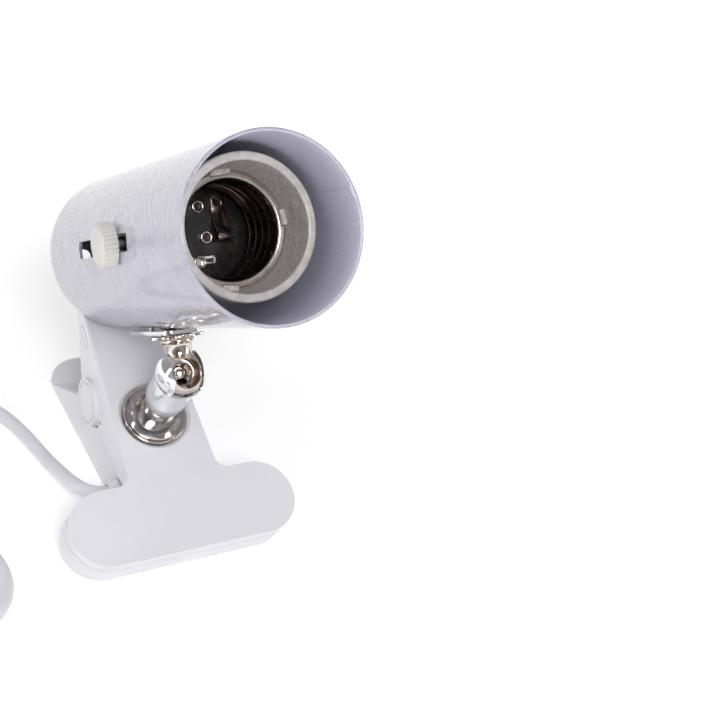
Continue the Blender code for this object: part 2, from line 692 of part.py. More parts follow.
def make_centre_contact():
    """A springy brass tongue, raised off the lampholder's floor."""
    base = FLOOR_Y - GAP
    outline = [(base, -1.5), (base, 11.0), (base - 0.8 * MM, 11.0), (base - 0.8 * MM, 5.5)]
    outline += [(base - 3.6 * MM, -0.6), (base - 3.6 * MM, -2.6), (base - 2.9 * MM, -2.6)]
    outline += [(base - 2.9 * MM, -1.0), (base - 0.8 * MM, 3.2), (base - 0.8 * MM, -1.5)]
    points = [(y, HOLDER_Z + z * MM) for y, z in outline]
    return finish(extruded(points, 3.6 * MM, 7.6 * MM, "YZ"), "centre_contact", BRASS, HEAD, smooth=False)


def make_shell_strap():
    """A nickel strap across the floor that joins the shell to its lead."""
    outline = arc((-4.4 * MM, HOLDER_Z - 7.4 * MM), 1.3 * MM, 90, 270, 6)
    outline += arc((2.2 * MM, HOLDER_Z - 7.4 * MM), 1.3 * MM, -90, 90, 6)
    base = FLOOR_Y - GAP
    return finish(extruded(outline, base - 0.7 * MM, base, "XZ"), "shell_strap", NICKEL, HEAD)


def make_eyelet(name, x, z):
    base = FLOOR_Y - GAP
    outer, inner, height = 1.9 * MM, 1.0 * MM, 1.1 * MM
    profile = [(inner, base), (outer, base), (outer, base - height * 0.6), (outer - 0.4 * MM, base - height)]
    profile += [(inner, base - height)]
    return finish(turned(profile, "Y", (x, 0, HOLDER_Z + z), 16), name, BRASS, HEAD)


def make_switch_body():
    low = (-22.4 * MM, -35.8 * MM, KNOB_Z - 6.5 * MM)
    high = (-14.9 * MM, -21.2 * MM, KNOB_Z + 6.5 * MM)
    piece = box(low, high)
    cut(piece, rod(2.2 * MM, 17 * MM, 26 * MM, "-X", (0, KNOB_Y, KNOB_Z), 20))
    return finish(piece, "switch_body", BLACK_PLASTIC, HEAD, smooth=False)


def make_lead(name, side):
    """A wire from the lampholder's back, behind the bracket, down into the neck."""
    knots = [Vector((side * 9.0, HOLDER_BACK / MM + 0.9, 38.0)), Vector((side * 9.2, -13.5, 34.0))]
    knots += [Vector((side * 7.6, -10.5, 27.0)), Vector((side * 3.4, -4.2, 26.2))]
    knots += [Vector((side * 1.3, -0.6, 23.4)), Vector((side * 1.3, 0, 17.0)), Vector((side * 1.3, 0, 8.0))]
    points = smooth_line([k * MM for k in knots], 3.0 * MM)
    return finish(wire(points, 1.0 * MM, 1), name, LEAD_LOOK[name], HEAD)


# ---------------------------------------------------------------- knob
def make_switch_shaft():
    piece = rod(1.9 * MM, -6.2 * MM, 3.2 * MM, "-X", sides=20)
    return finish(piece, "switch_shaft", STEEL, KNOB)


def make_knob():
    """A ribbed disc with a plain face; its origin is where its axis leaves the shade."""
    ribs, outer, root = 30, 6.3 * MM, 5.95 * MM
    outline = []
    for i in range(ribs * 2):
        outline.append(arc((0, 0), outer if i % 2 else root, 180 * i / ribs, 0, 1)[0])
    piece = extruded(outline, 0.5 * MM, 4.3 * MM, "XY")
    join(piece, rod(5.8 * MM, 4.0 * MM, 5.1 * MM, sides=30))
    cut(piece, rod(2.15 * MM, 0, 3.5 * MM, sides=20))
    piece.data.transform(along("-X"))
    return finish(piece, "switch_knob", IVORY_PLASTIC, KNOB)


# ---------------------------------------------------------------- cord and plug
ROUTE = [  # across, along and above the ground, in millimetres
    (-9.0, 29.0, 8.0),
    (-17.0, 29.0, 8.0),
    (-20.0, 29.9, 7.9),
    (-22.8, 32.2, 7.5),
    (-24.6, 35.7, 6.9),
    (-25.8, 39.9, 6.0),
    (-26.6, 44.8, 4.9),
    (-27.6, 50.5, 3.7),
    (-28.6, 56.8, 2.8),
    (-29.9, 63.5, 2.4),
    (-31.9, 71.0, 2.4),
    (-35.0, 79.0, 2.4),
    (-39.8, 86.6, 2.4),
    (-46.4, 92.8, 2.4),
    (-54.4, 97.0, 2.4),
    (-62.0, 98.7, 2.4),
    (-68.2, 99.1, 2.4),
    (-74.5, 99.2, 2.4),
]
TAIL_ROUTE = [
    (-74.5, 30.0, 5.4),
    (-68.6, 28.7, 3.8),
    (-62.8, 25.3, 2.7),
    (-58.5, 19.8, 2.4),
    (-56.3, 12.8, 2.4),
    (-56.6, 5.4, 2.4),
    (-59.6, -1.4, 2.4),
    (-64.9, -6.6, 2.7),
    (-71.8, -9.5, 3.6),
    (-79.6, -10.2, 4.6),
]


def make_cord(name, route):
    points = smooth_line([lying(*(Vector(p) * MM)) for p in route], 7.0 * MM)
    return finish(wire(points, CORD_R, 2), name, WHITE_CABLE, CLIP)


def make_clip_lead():
    """The cord's inner end, from the grommet up to the post's stud."""
    knots = [Vector((-7.0, 17.9, -16.6)), Vector((-4.4, 17.6, -12.6)), Vector((-1.6, 16.2, -7.4))]
    knots += [Vector((-0.2, 14.2, -3.0)), Vector((0.0, 12.2, -0.6))]
    points = smooth_line([k * MM for k in knots], 3.0 * MM)
    return finish(wire(points, 1.5 * MM, 1), "clip_lead", WHITE_CABLE, CLIP)


def make_cord_coil():
    """The outer shape of the coiled cord."""
    low, high = 0.1 * MM, COIL_TOP
    inner, outer = COIL_MID_R - COIL_HALF_WIDTH, COIL_MID_R + COIL_HALF_WIDTH
    profile = [(inner, low), (inner, high), (outer - 1.5 * MM, high), (outer, high - 1.5 * MM), (outer, low)]
    piece = turned(profile, "Z", (*COIL_CENTRE, 0), 40)
    piece.data.transform(lying_matrix())
    return finish(piece, "cord_coil", WHITE_CABLE, CLIP)


def make_plug_body():
    """A moulded two-pin plug: a tapered strain relief running into a flat body, lying on its face."""
    middle = 7.0 * MM
    relief = turned(
        [(0, 0), (3.2 * MM, 0), (4.6 * MM, 16 * MM), (4.6 * MM, 24 * MM), (0, 24 * MM)],
        "-X",
        (PLUG_START - GAP, PLUG_ALONG, 4.8 * MM),
        20,
    )
    start = PLUG_START - 15 * MM
    end = start - 26 * MM
    half = 11.5 * MM
    shoulder = 5 * MM
    outline = [(start, -half + shoulder), (start, half - shoulder), (start - shoulder, half), (end, half)]
    outline += [(end, -half), (start - shoulder, -half)]
    piece = extruded([(x, PLUG_ALONG + y) for x, y in outline], 0.1 * MM, 2 * middle - 0.1 * MM, "XY")
    bevel = piece.modifiers.new("rounding", "BEVEL")
    bevel.width = 2.0 * MM
    bevel.segments = 2
    bevel.limit_method = "ANGLE"
    bevel.angle_limit = math.radians(50)
    piece = baked(piece)
    join(piece, relief)
    for side in (1, -1):
        y = PLUG_ALONG + side * PIN_SPACING / 2
        low = (end - 1 * MM, y - 0.95 * MM, middle - 3.35 * MM)
        high = (end + 6 * MM, y + 0.95 * MM, middle + 3.35 * MM)
        cut(piece, box(low, high))
    piece.data.transform(lying_matrix())
    return finish(piece, "plug_body", WHITE_PLASTIC, CLIP)


def make_plug_pin(name, side):
    """A flat blade with a chamfered end and a hole, held in the plug's body."""
    end = PLUG_START - 41 * MM
    root, tip = end + 5.7 * MM, end - 16 * MM
    middle, half = 7.0 * MM, 3.05 * MM
    outline = [(root, middle - half), (root, middle + half), (tip + 1.5 * MM, middle + half)]
    outline += [(tip, middle + half - 1.5 * MM), (tip, middle - half + 1.5 * MM), (tip + 1.5 * MM, middle - half)]
    y = PLUG_ALONG + side * PIN_SPACING / 2
    piece = extruded(outline, y - 0.7 * MM, y + 0.7 * MM, "XZ")
    cut(piece, rod(1.5 * MM, y - 3 * MM, y + 3 * MM, "Y", (tip + 4 * MM, 0, middle), 16))
    piece.data.transform(lying_matrix())
    return finish(piece, name, BRASS, CLIP, smooth=False)


# ---------------------------------------------------------------- build
clear_scene()
PARTS = collection("heat_lamp_fixture")

WHITE_PAINT = material("white_paint", (0.80, 0.80, 0.86), 0.2)
WHITE_PLASTIC = material("white_plastic", (0.82, 0.82, 0.85), 0.35)
IVORY_PLASTIC = material("ivory_plastic", (0.76, 0.75, 0.70), 0.45)
BLACK_PLASTIC = material("black_plastic", (0.02, 0.02, 0.02), 0.5)
SOFT_RUBBER = material("soft_rubber", (0.70, 0.70, 0.72), 0.7)
WHITE_CABLE = material("white_cable", (0.78, 0.78, 0.82), 0.4)
RED_CABLE = material("red_cable", (0.35, 0.06, 0.03), 0.5)
BLUE_CABLE = material("blue_cable", (0.04, 0.09, 0.35), 0.5)
CHROME = material("chrome", (0.75, 0.75, 0.75), 0.08, 1.0)
NICKEL = material("nickel", (0.62, 0.58, 0.55), 0.25, 1.0)
STEEL = material("steel", (0.55, 0.55, 0.56), 0.35, 1.0)
BRASS = material("brass", (0.60, 0.45, 0.20), 0.3, 1.0)
CERAMIC = material("ceramic", (0.55, 0.52, 0.50), 0.4)
LEAD_LOOK = {"lead_live": RED_CABLE, "lead_neutral": BLUE_CABLE}

LIE = empty("lying_frame", location=STAND_SHIFT)
CLIP = empty("clip_frame", LIE)
CLIP.matrix_basis = lying_matrix().inverted()
HINGE = empty("jaw_hinge", CLIP, (0, PIVOT_Y, PIVOT_Z))
FRONT = empty("front_frame", HINGE, (0, -PIVOT_Y, -PIVOT_Z))
POST = empty("post_axis", FRONT)
TILT = Matrix.Rotation(HEAD_TILT, 3, "X") @ Matrix.Rotation(HEAD_YAW, 3, "Z")
HEAD = empty("head_axis", POST, (0, -BALL_OUT, 0), TILT)
KNOB = empty("knob_axis", HEAD, (-SHADE_R, KNOB_Y, KNOB_Z))

make_rear_clip_half()
make_rear_jaw_pad()
make_pivot_pin()
make_torsion_spring()
make_cord_grommet()
make_front_clip_half()
make_front_jaw_pad()
make_base_ring()
make_swivel_post()
make_post_nut()
make_post_washer()
make_post_lead()
make_swivel_neck()
make_star_washer()
make_bracket_plate()
make_plate_rivet()
make_shade_tube()
make_shade_back_cap()
make_nipple_nut()
make_socket_bracket()
make_socket_screw("socket_screw_upper", 1)
make_socket_screw("socket_screw_lower", -1)
make_socket_body()
make_screw_shell()
make_centre_contact()
make_shell_strap()
make_eyelet("eyelet_upper", -0.5 * MM, 8.0 * MM)
make_eyelet("eyelet_middle", 1.0 * MM, -0.8 * MM)
make_switch_body()
make_lead("lead_live", 1)
make_lead("lead_neutral", -1)
make_switch_shaft()
make_knob()
make_clip_lead()
make_cord("power_cord", ROUTE)
make_cord_coil()
make_cord("cord_tail", TAIL_ROUTE)
make_plug_body()
make_plug_pin("plug_pin_live", 1)
make_plug_pin("plug_pin_neutral", -1)
bpy.context.view_layer.update()
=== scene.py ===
"""Looks for the clip-on heat lamp fixture.

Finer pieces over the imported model, materials, floor, light and camera.
"""

import math

import bmesh
import bpy
from mathutils import Matrix, Vector, noise


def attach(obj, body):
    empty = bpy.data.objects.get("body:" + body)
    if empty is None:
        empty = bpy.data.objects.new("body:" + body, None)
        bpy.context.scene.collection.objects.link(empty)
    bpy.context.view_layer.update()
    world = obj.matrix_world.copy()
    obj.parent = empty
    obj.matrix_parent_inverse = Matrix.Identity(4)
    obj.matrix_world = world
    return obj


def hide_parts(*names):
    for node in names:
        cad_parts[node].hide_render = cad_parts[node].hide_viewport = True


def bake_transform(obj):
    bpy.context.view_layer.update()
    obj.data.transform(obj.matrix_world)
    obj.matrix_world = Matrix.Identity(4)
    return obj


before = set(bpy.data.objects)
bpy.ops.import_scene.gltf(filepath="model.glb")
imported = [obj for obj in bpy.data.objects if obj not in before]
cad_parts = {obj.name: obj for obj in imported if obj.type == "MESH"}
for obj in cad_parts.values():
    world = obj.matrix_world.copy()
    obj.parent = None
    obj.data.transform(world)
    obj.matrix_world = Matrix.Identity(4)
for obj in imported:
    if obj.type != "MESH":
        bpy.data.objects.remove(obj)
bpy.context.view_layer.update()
MM = 0.001

# The clip frame (X along the jaws, Y to the rear half, Z up the handles) lies on its back
SPLAY = math.radians(24.5)
JAW_BACK = 12.9 * MM
JAW_EDGE = -46.8 * MM
STAND_SHIFT = -36.47 * MM
HEAD_TILT = math.radians(28.6)
HEAD_YAW = math.radians(-3.2)
BALL_OUT = 29.2 * MM

# Head
SHADE_R = 25.0 * MM
SHADE_WALL = 0.9 * MM
AXIS_Z = 38.9 * MM
HOLDER_Z = AXIS_Z + 1.4 * MM
MOUTH_Y = -81.4 * MM
TAIL_Y = 40.1 * MM
KNOB_Y = -28.5 * MM
KNOB_Z = AXIS_Z + 1.25 * MM
FLOOR_Y = -30.7 * MM
HOLDER_FRONT = -64.7 * MM
HOLDER_BACK = -18.5 * MM
SHELL_FRONT = -52.8 * MM
SHELL_BACK = -33.0 * MM
SCREW_RISE = 9.0 * MM
THREAD_R = 4.7 * MM
RIVET_Y = 22 * MM
RIVET_HOLE_R = 1.75 * MM
CONTACT_BASE = FLOOR_Y - 0.3 * MM

# Clip
JAW_R = 12.3 * MM
JAW_CENTRE_X = 25.7 * MM
JAW_Z = -34.5 * MM
JAW_TOP = JAW_Z + JAW_R
ARM_TAPER = 0.038
ARM_HALF = 14.34 * MM
ARM_TOP = 45.5 * MM
PIVOT_Y = 16.0 * MM
PIVOT_Z = 14.5 * MM
EAR_R = 8.2 * MM
RECESS_R = 12.0 * MM
REAR_HALF_WIDTH = 12.9 * MM
REAR_JAW_FACE = 5.5 * MM
REAR_LENGTH = 104.5 * MM

# Swivel
POST_R = 6.8 * MM
HOOD_R = 8.0 * MM
BALL_R = 7.2 * MM
NECK_R = 4.3 * MM

# Cord
CORD_R = 2.3 * MM
COIL_CENTRE = (-94.0, 64.6)  # the coil and the routes are in millimetres
COIL_MIDDLE = 27.5
COIL_PITCH = 4.75
COIL_HEIGHT = 2.4
COIL_RISE = 4.75
COIL_TURNS = 7.5
COIL_CLIMB = (3.5, 3.7)  # the turns between which it climbs to the second layer
STEPS_PER_TURN = 36
KNOT_SPACING = 2.5
BUSH_ALONG = 29 * MM
BUSH_HEIGHT = 8 * MM
ROUTE = [  # across, along and above the ground
    (-9.0, 29.0, 8.0),
    (-17.0, 29.0, 8.0),
    (-20.0, 29.9, 7.9),
    (-22.8, 32.2, 7.5),
    (-24.6, 35.7, 6.9),
    (-25.8, 39.9, 6.0),
    (-26.6, 44.8, 4.9),
    (-27.6, 50.5, 3.7),
    (-28.6, 56.8, 2.8),
    (-29.9, 63.5, 2.4),
    (-31.9, 71.0, 2.4),
    (-35.0, 79.0, 2.4),
    (-39.8, 86.6, 2.4),
    (-46.4, 92.8, 2.4),
    (-54.4, 97.0, 2.4),
    (-62.0, 98.7, 2.4),
    (-68.2, 99.1, 2.4),
    (-74.5, 99.2, 2.4),
    (-84.0, 99.225, 2.4),
]
TAIL_ROUTE = [
    (-84.0, 29.975, 6.8),
    (-74.5, 30.0, 5.4),
    (-68.6, 28.7, 3.8),
    (-62.8, 25.3, 2.7),
    (-58.5, 19.8, 2.4),
    (-56.3, 12.8, 2.4),
    (-56.6, 5.4, 2.4),
    (-59.6, -1.4, 2.4),
    (-64.9, -6.6, 2.7),
    (-71.8, -9.5, 3.6),
    (-79.6, -10.2, 4.6),
    (-83.0, -10.2, 4.8),
]
PLUG_ALONG = -10.2 * MM
PLUG_START = -80.0 * MM
PLUG_HEIGHT = 4.8 * MM

# Camera
CAMERA_PLACE = (-0.15461, -0.28754, 0.30395)
CAMERA_TURN = (53.39, -12.81, -29.25)
CAMERA_LENS = 65.0


# ---------------------------------------------------------------- frames
def lying(across, along_back, height):
    """A point given across the jaws, along the rear half's back from its lower edge, and above the ground."""
    return Vector((across, along_back + STAND_SHIFT, height))


def clip_matrix():
    turn = Matrix.Rotation(-(math.radians(90) - SPLAY), 4, "X")
    edge = turn @ Vector((0, JAW_BACK, JAW_EDGE))
    return Matrix.Translation(lying(0, 0, 0) - edge) @ turn


CLIP = clip_matrix()
HEAD = (
    CLIP
    @ Matrix.Translation((0, -BALL_OUT, 0))
    @ Matrix.Rotation(HEAD_TILT, 4, "X")
    @ Matrix.Rotation(HEAD_YAW, 4, "Z")
)
KNOB = HEAD @ Matrix.Translation((-SHADE_R, KNOB_Y, KNOB_Z))
LYING = Matrix.Translation((0, STAND_SHIFT, 0))


# ---------------------------------------------------------------- modelling helpers
def link(name, data):
    made = bpy.data.objects.new(name, data)
    bpy.context.scene.collection.objects.link(made)
    return made


def solid(obj):
    bpy.context.view_layer.update()
    graph = bpy.context.evaluated_depsgraph_get()
    mesh = bpy.data.meshes.new_from_object(obj.evaluated_get(graph))
    work = bmesh.new()
    work.from_mesh(mesh)
    bmesh.ops.remove_doubles(work, verts=work.verts, dist=1e-6)
    loose = [edge for edge in work.edges if not edge.link_faces]
    bmesh.ops.delete(work, geom=loose, context="EDGES")
    bmesh.ops.recalc_face_normals(work, faces=work.faces)
    work.to_mesh(mesh)
    work.free()
    return mesh


def baked(obj, matrix=None):
    mesh = solid(obj)
    if matrix is not None:
        mesh.transform(matrix)
    made = link("piece", mesh)
    bpy.data.objects.remove(obj, do_unlink=True)
    return made


def from_bmesh(work):
    mesh = bpy.data.meshes.new("piece")
    work.to_mesh(mesh)
    work.free()
    return link("piece", mesh)


def box(low, high):
    work = bmesh.new()
    bmesh.ops.create_cube(work, size=1.0)
    bmesh.ops.scale(work, vec=[h - l for l, h in zip(low, high)], verts=work.verts)
    bmesh.ops.translate(work, vec=[(h + l) / 2 for l, h in zip(low, high)], verts=work.verts)
    return from_bmesh(work)


def along(axis, centre=(0, 0, 0)):
    turns = {
        "Z": Matrix.Identity(4),
        "Y": Matrix.Rotation(math.radians(-90), 4, "X"),
        "-Y": Matrix.Rotation(math.radians(90), 4, "X"),
        "X": Matrix.Rotation(math.radians(90), 4, "Y"),
        "-X": Matrix.Rotation(math.radians(-90), 4, "Y"),
    }
    return Matrix.Translation(centre) @ turns[axis]


def rod(radius, start, end, axis="Z", centre=(0, 0, 0), sides=48):
    work = bmesh.new()
    bmesh.ops.create_cone(
        work, cap_ends=True, segments=sides, radius1=radius, radius2=radius, depth=end - start
    )
    bmesh.ops.translate(work, vec=(0, 0, (start + end) / 2), verts=work.verts)
    made = from_bmesh(work)
    made.data.transform(along(axis, centre))
    return made


def turned(profile, axis="Z", centre=(0, 0, 0), steps=96):
    mesh = bpy.data.meshes.new("profile")
    mesh.from_pydata(
        [(r, 0.0, z) for r, z in profile], [(i, (i + 1) % len(profile)) for i in range(len(profile))], []
    )
    obj = link("turned", mesh)
    screw = obj.modifiers.new("turn", "SCREW")
    screw.steps = screw.render_steps = steps
    screw.use_merge_vertices = True
    screw.merge_threshold = 1e-5
    return baked(obj, along(axis, centre))


def extruded(outline, low, high, plane="XZ"):
    curve = bpy.data.curves.new("outline", "CURVE")
    curve.dimensions = "2D"
    curve.fill_mode = "BOTH"
    curve.extrude = (high - low) / 2
    line = curve.splines.new("POLY")
    line.points.add(len(outline) - 1)
    for point, (a, b) in zip(line.points, outline):
        point.co = (a, b, 0.0, 1.0)
    line.use_cyclic_u = True
    middle = (high + low) / 2
    columns = {
        "XZ": ((1, 0, 0), (0, 0, 1), (0, -1, 0), (0, middle, 0)),
        "YZ": ((0, 1, 0), (0, 0, 1), (1, 0, 0), (middle, 0, 0)),
        "XY": ((1, 0, 0), (0, 1, 0), (0, 0, 1), (0, 0, middle)),
    }[plane]
    matrix = Matrix.Identity(4)
    for i in range(3):
        for j in range(3):
            matrix[j][i] = columns[i][j]
        matrix[i][3] = columns[3][i]
    return baked(link("extruded", curve), matrix)


def wire(points, radius, as_mesh=True):
    curve = bpy.data.curves.new("wire", "CURVE")
    curve.dimensions = "3D"
    curve.bevel_depth = radius
    curve.bevel_resolution = 4
    curve.use_fill_caps = True
    line = curve.splines.new("POLY")
    line.points.add(len(points) - 1)
    for point, place in zip(line.points, points):
        point.co = (*place, 1.0)
    line.use_smooth = True
    made = link("wire", curve)
    return baked(made) if as_mesh else made


def combine(piece, tool, operation):
    step = piece.modifiers.new("boolean", "BOOLEAN")
    step.operation = operation
    step.solver = "EXACT"
    step.object = tool
    mesh = solid(piece)
    piece.modifiers.clear()
    piece.data = mesh
    bpy.data.objects.remove(tool, do_unlink=True)
    return piece


def cut(piece, *tools):
    for tool in tools:
        combine(piece, tool, "DIFFERENCE")
    return piece


def join(piece, *tools):
    for tool in tools:
        combine(piece, tool, "UNION")
    return piece


def arc(centre, radius, start, end, steps):
    found = []
    for i in range(steps + 1):
        angle = math.radians(start + (end - start) * i / steps)
        found.append((centre[0] + radius * math.cos(angle), centre[1] + radius * math.sin(angle)))
    return found


def rounded(corners, radius, steps=4):
    """The closed outline with each corner cut back to an arc-like curve of about the radius."""
    found = []
    count = len(corners)
    for i, corner in enumerate(corners):
        corner = Vector(corner)
        before = Vector(corners[i - 1]) - corner
        after = Vector(corners[(i + 1) % count]) - corner
        reach = min(radius, before.length * 0.45, after.length * 0.45)
        a = corner + before.normalized() * reach
        b = corner + after.normalized() * reach
        for k in range(steps + 1):
            t = k / steps
            found.append(tuple((1 - t) ** 2 * a + 2 * t * (1 - t) * corner + t**2 * b))
    return found


def turned_round(profile, radius, axis="Y", centre=(0, 0, 0), steps=96):
    """A closed profile off the axis, with its corners rounded, swept round the axis."""
    return turned(rounded(profile, radius), axis, centre, steps)


def smooth_line(knots, spacing):
    ends = [knots[0] * 2 - knots[1], *knots, knots[-1] * 2 - knots[-2]]
    found = [knots[0]]
    for i in range(1, len(ends) - 2):
        a, b, c, d = ends[i - 1 : i + 3]
        pieces = max(1, round((c - b).length / spacing))
        for k in range(1, pieces + 1):
            t = k / pieces
            found.append(
                0.5
                * (
                    2 * b
                    + (c - a) * t
                    + (2 * a - 5 * b + 4 * c - d) * t**2
                    + (3 * b - a - 3 * c + d) * t**3
                )
            )
    return found


def soften(piece, width, segments=3, angle=32):
    """Rounds the piece's sharp edges."""
    work = bmesh.new()
    work.from_mesh(piece.data)
    bmesh.ops.dissolve_limit(
        work, angle_limit=math.radians(0.6), verts=work.verts, edges=work.edges, delimit=set()
    )
    work.to_mesh(piece.data)
    work.free()
    bevel = piece.modifiers.new("rounding", "BEVEL")
    bevel.width = width
    bevel.segments = segments
    bevel.limit_method = "ANGLE"
    bevel.angle_limit = math.radians(angle)
    bevel.use_clamp_overlap = True
    bevel.miter_outer = "MITER_ARC"
    return baked(piece)


def place(piece, name, look, slot, body, matrix, replaces=(), smooth=35):
    """Names, paints and places a piece in the row frame, and lets it ride on its body.

    The clip's and the post's pieces take the matrix into their mesh, which keeps their bound boxes tight.
    """
    piece.name = name
    piece.data.name = name
    if not piece.data.materials:
        piece.data.materials.append(look)
    if piece.type == "MESH":
        piece.data.shade_smooth()
        piece.data.set_sharp_from_angle(angle=math.radians(smooth))
    if body in ("head", "knob"):
        piece.matrix_world = matrix
    else:
        piece.data.transform(matrix)
    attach(piece, body)
    if replaces:
        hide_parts(*replaces)
    return piece


# ---------------------------------------------------------------- materials
def surface(name, colour, roughness, metallic=0.0, **values):
    """A Principled material; values are other sockets' constants, with _ for a space."""
    made = bpy.data.materials.new(name)
    made.use_nodes = True
    shader = made.node_tree.nodes["Principled BSDF"]
    shader.inputs["Base Color"].default_value = (*colour, 1.0)
    shader.inputs["Roughness"].default_value = roughness
    shader.inputs["Metallic"].default_value = metallic
    for key, value in values.items():
        shader.inputs[key.replace("_", " ")].default_value = value
    return made


def coordinates(tree, stretch=(1, 1, 1)):
    position = tree.nodes.new("ShaderNodeTexCoord")
    mapping = tree.nodes.new("ShaderNodeMapping")
    mapping.inputs["Scale"].default_value = stretch
    tree.links.new(position.outputs["Object"], mapping.inputs["Vector"])
    return mapping.outputs["Vector"]


def grain(tree, scale, detail=4.0, stretch=(1, 1, 1), rough=0.55):
    """A noise texture's value; scale is in features to a metre."""
    texture = tree.nodes.new("ShaderNodeTexNoise")
    texture.inputs["Scale"].default_value = scale
    texture.inputs["Detail"].default_value = detail
    texture.inputs["Roughness"].default_value = rough
    tree.links.new(coordinates(tree, stretch), texture.inputs["Vector"])
    return texture.outputs["Fac"]


def add_bump(material, layers):
    """Chains bumps; a layer is (scale, depth in metres, strength, stretch)."""
    tree = material.node_tree
    shader = tree.nodes["Principled BSDF"]
    last = None
    for scale, depth, strength, stretch in layers:
        bump = tree.nodes.new("ShaderNodeBump")
        bump.inputs["Distance"].default_value = depth
        bump.inputs["Strength"].default_value = strength
        tree.links.new(grain(tree, scale, 3.0, stretch), bump.inputs["Height"])
        if last is not None:
            tree.links.new(last, bump.inputs["Normal"])
        last = bump.outputs["Normal"]
    tree.links.new(last, shader.inputs["Normal"])
    return material


def add_mottle(material, dark, light, scale, stretch=(1, 1, 1), low=0.35, high=0.65, detail=5.0):
    """Lets the base colour wander between two colours."""
    tree = material.node_tree
    ramp = tree.nodes.new("ShaderNodeValToRGB")
    ramp.color_ramp.elements[0].position = low
    ramp.color_ramp.elements[1].position = high
    ramp.color_ramp.elements[0].color = (*dark, 1.0)
    ramp.color_ramp.elements[1].color = (*light, 1.0)
    tree.links.new(grain(tree, scale, detail, stretch), ramp.inputs["Fac"])
    tree.links.new(ramp.outputs["Color"], tree.nodes["Principled BSDF"].inputs["Base Color"])
    return material


def add_wear(material, low, high, scale, stretch=(1, 1, 1)):
    """Lets the roughness wander between two values."""
    tree = material.node_tree
    spread = tree.nodes.new("ShaderNodeMapRange")
    spread.inputs["From Min"].default_value = 0.3
    spread.inputs["From Max"].default_value = 0.7
    spread.inputs["To Min"].default_value = low
    spread.inputs["To Max"].default_value = high
    tree.links.new(grain(tree, scale, 4.0, stretch), spread.inputs["Value"])
    tree.links.new(spread.outputs["Result"], tree.nodes["Principled BSDF"].inputs["Roughness"])
    return material


# White enamel outside the shade, painted darker and lavender-grey: painted shade and painted reflection in
# its base colour.
def enamel_painted_shade():
    made = surface("white_enamel_painted_shade", (0.42, 0.41, 0.49), 0.09, Coat_Weight=0.7, Coat_Roughness=0.02)
    add_mottle(made, (0.40, 0.39, 0.47), (0.44, 0.43, 0.51), 160)
    wrinkles = (0.36, 1.0, 0.36)
    return add_bump(made, [(620, 0.0022, 0.9, wrinkles), (110, 0.0030, 0.5, (1.0, 0.6, 1.0))])


# The same white enamel inside the shade, painted lighter than outside: painted light.
def inner_enamel_painted_light():
    made = surface("inner_enamel_painted_light", (0.66, 0.65, 0.78), 0.42, Coat_Weight=0.2, Coat_Roughness=0.25)
    add_mottle(made, (0.54, 0.53, 0.65), (0.78, 0.77, 0.90), 2600, low=0.3, high=0.7, detail=2.0)
    return add_bump(made, [(2400, 0.00022, 0.6, (1, 1, 1))])


def glazed_ceramic():
    made = surface("ceramic", (0.48, 0.44, 0.42), 0.5)
    add_mottle(made, (0.38, 0.35, 0.33), (0.58, 0.54, 0.51), 900)
    return add_bump(made, [(900, 0.00025, 0.5, (1, 1, 1)), (3500, 0.00008, 0.5, (1, 1, 1))])


def pale_glaze():
    made = surface("ceramic_rim", (0.50, 0.47, 0.44), 0.3, Coat_Weight=0.4, Coat_Roughness=0.15)
    add_mottle(made, (0.46, 0.43, 0.40), (0.60, 0.57, 0.54), 500)
    return add_bump(made, [(1200, 0.00012, 0.4, (1, 1, 1))])


def nickel():
    made = surface("nickel", (0.55, 0.49, 0.46), 0.2, 1.0)
    add_wear(made, 0.12, 0.32, 300)
    return add_bump(made, [(500, 0.00008, 0.3, (1, 1, 1))])


def chrome(name="chrome", colour=(0.80, 0.80, 0.82)):
    made = surface(name, colour, 0.06, 1.0)
    add_wear(made, 0.04, 0.14, 200)
    return add_bump(made, [(200, 0.00008, 0.05, (1, 1, 1))])


# The nickel painted nearly black: painted shade deep in the lampholder's bore.
def nickel_painted_shade():
    made = surface("nickel_painted_shade", (0.14, 0.11, 0.10), 0.22, 1.0)
    add_wear(made, 0.15, 0.35, 300)
    return add_bump(made, [(500, 0.00008, 0.3, (1, 1, 1))])


def zinc():
    made = surface("zinc", (0.48, 0.48, 0.50), 0.35, 1.0)
    add_wear(made, 0.25, 0.5, 400)
    return add_bump(made, [(1500, 0.00004, 0.3, (1, 1, 1))])


def brass():
    made = surface("brass", (0.45, 0.33, 0.17), 0.35, 1.0)
    add_wear(made, 0.22, 0.45, 500)
    return add_bump(made, [(1300, 0.00004, 0.3, (1, 1, 1))])


def satin_plastic(name, colour, roughness=0.34):
    made = surface(name, colour, roughness, Coat_Weight=0.12, Coat_Roughness=0.3)
    darker = tuple(c * 0.97 for c in colour)
    add_mottle(made, darker, colour, 45)
    add_wear(made, roughness - 0.05, roughness + 0.1, 150)
    return add_bump(made, [(3200, 0.00003, 0.35, (1, 1, 1)), (120, 0.0003, 0.06, (1, 1, 1))])


def cable(name, colour):
    made = surface(name, colour, 0.38, Coat_Weight=0.1, Coat_Roughness=0.3)
    add_mottle(made, tuple(c * 0.95 for c in colour), colour, 80)
    return add_bump(made, [(900, 0.00008, 0.3, (1, 1, 1))])


# Nearly black and glossy; it darkens the lampholder's floor.
def near_black_disc_look():
    made = surface("near_black_disc", (0.012, 0.010, 0.010), 0.22)
    add_wear(made, 0.15, 0.35, 350)
    return add_bump(made, [(600, 0.0001, 0.4, (1, 1, 1))])


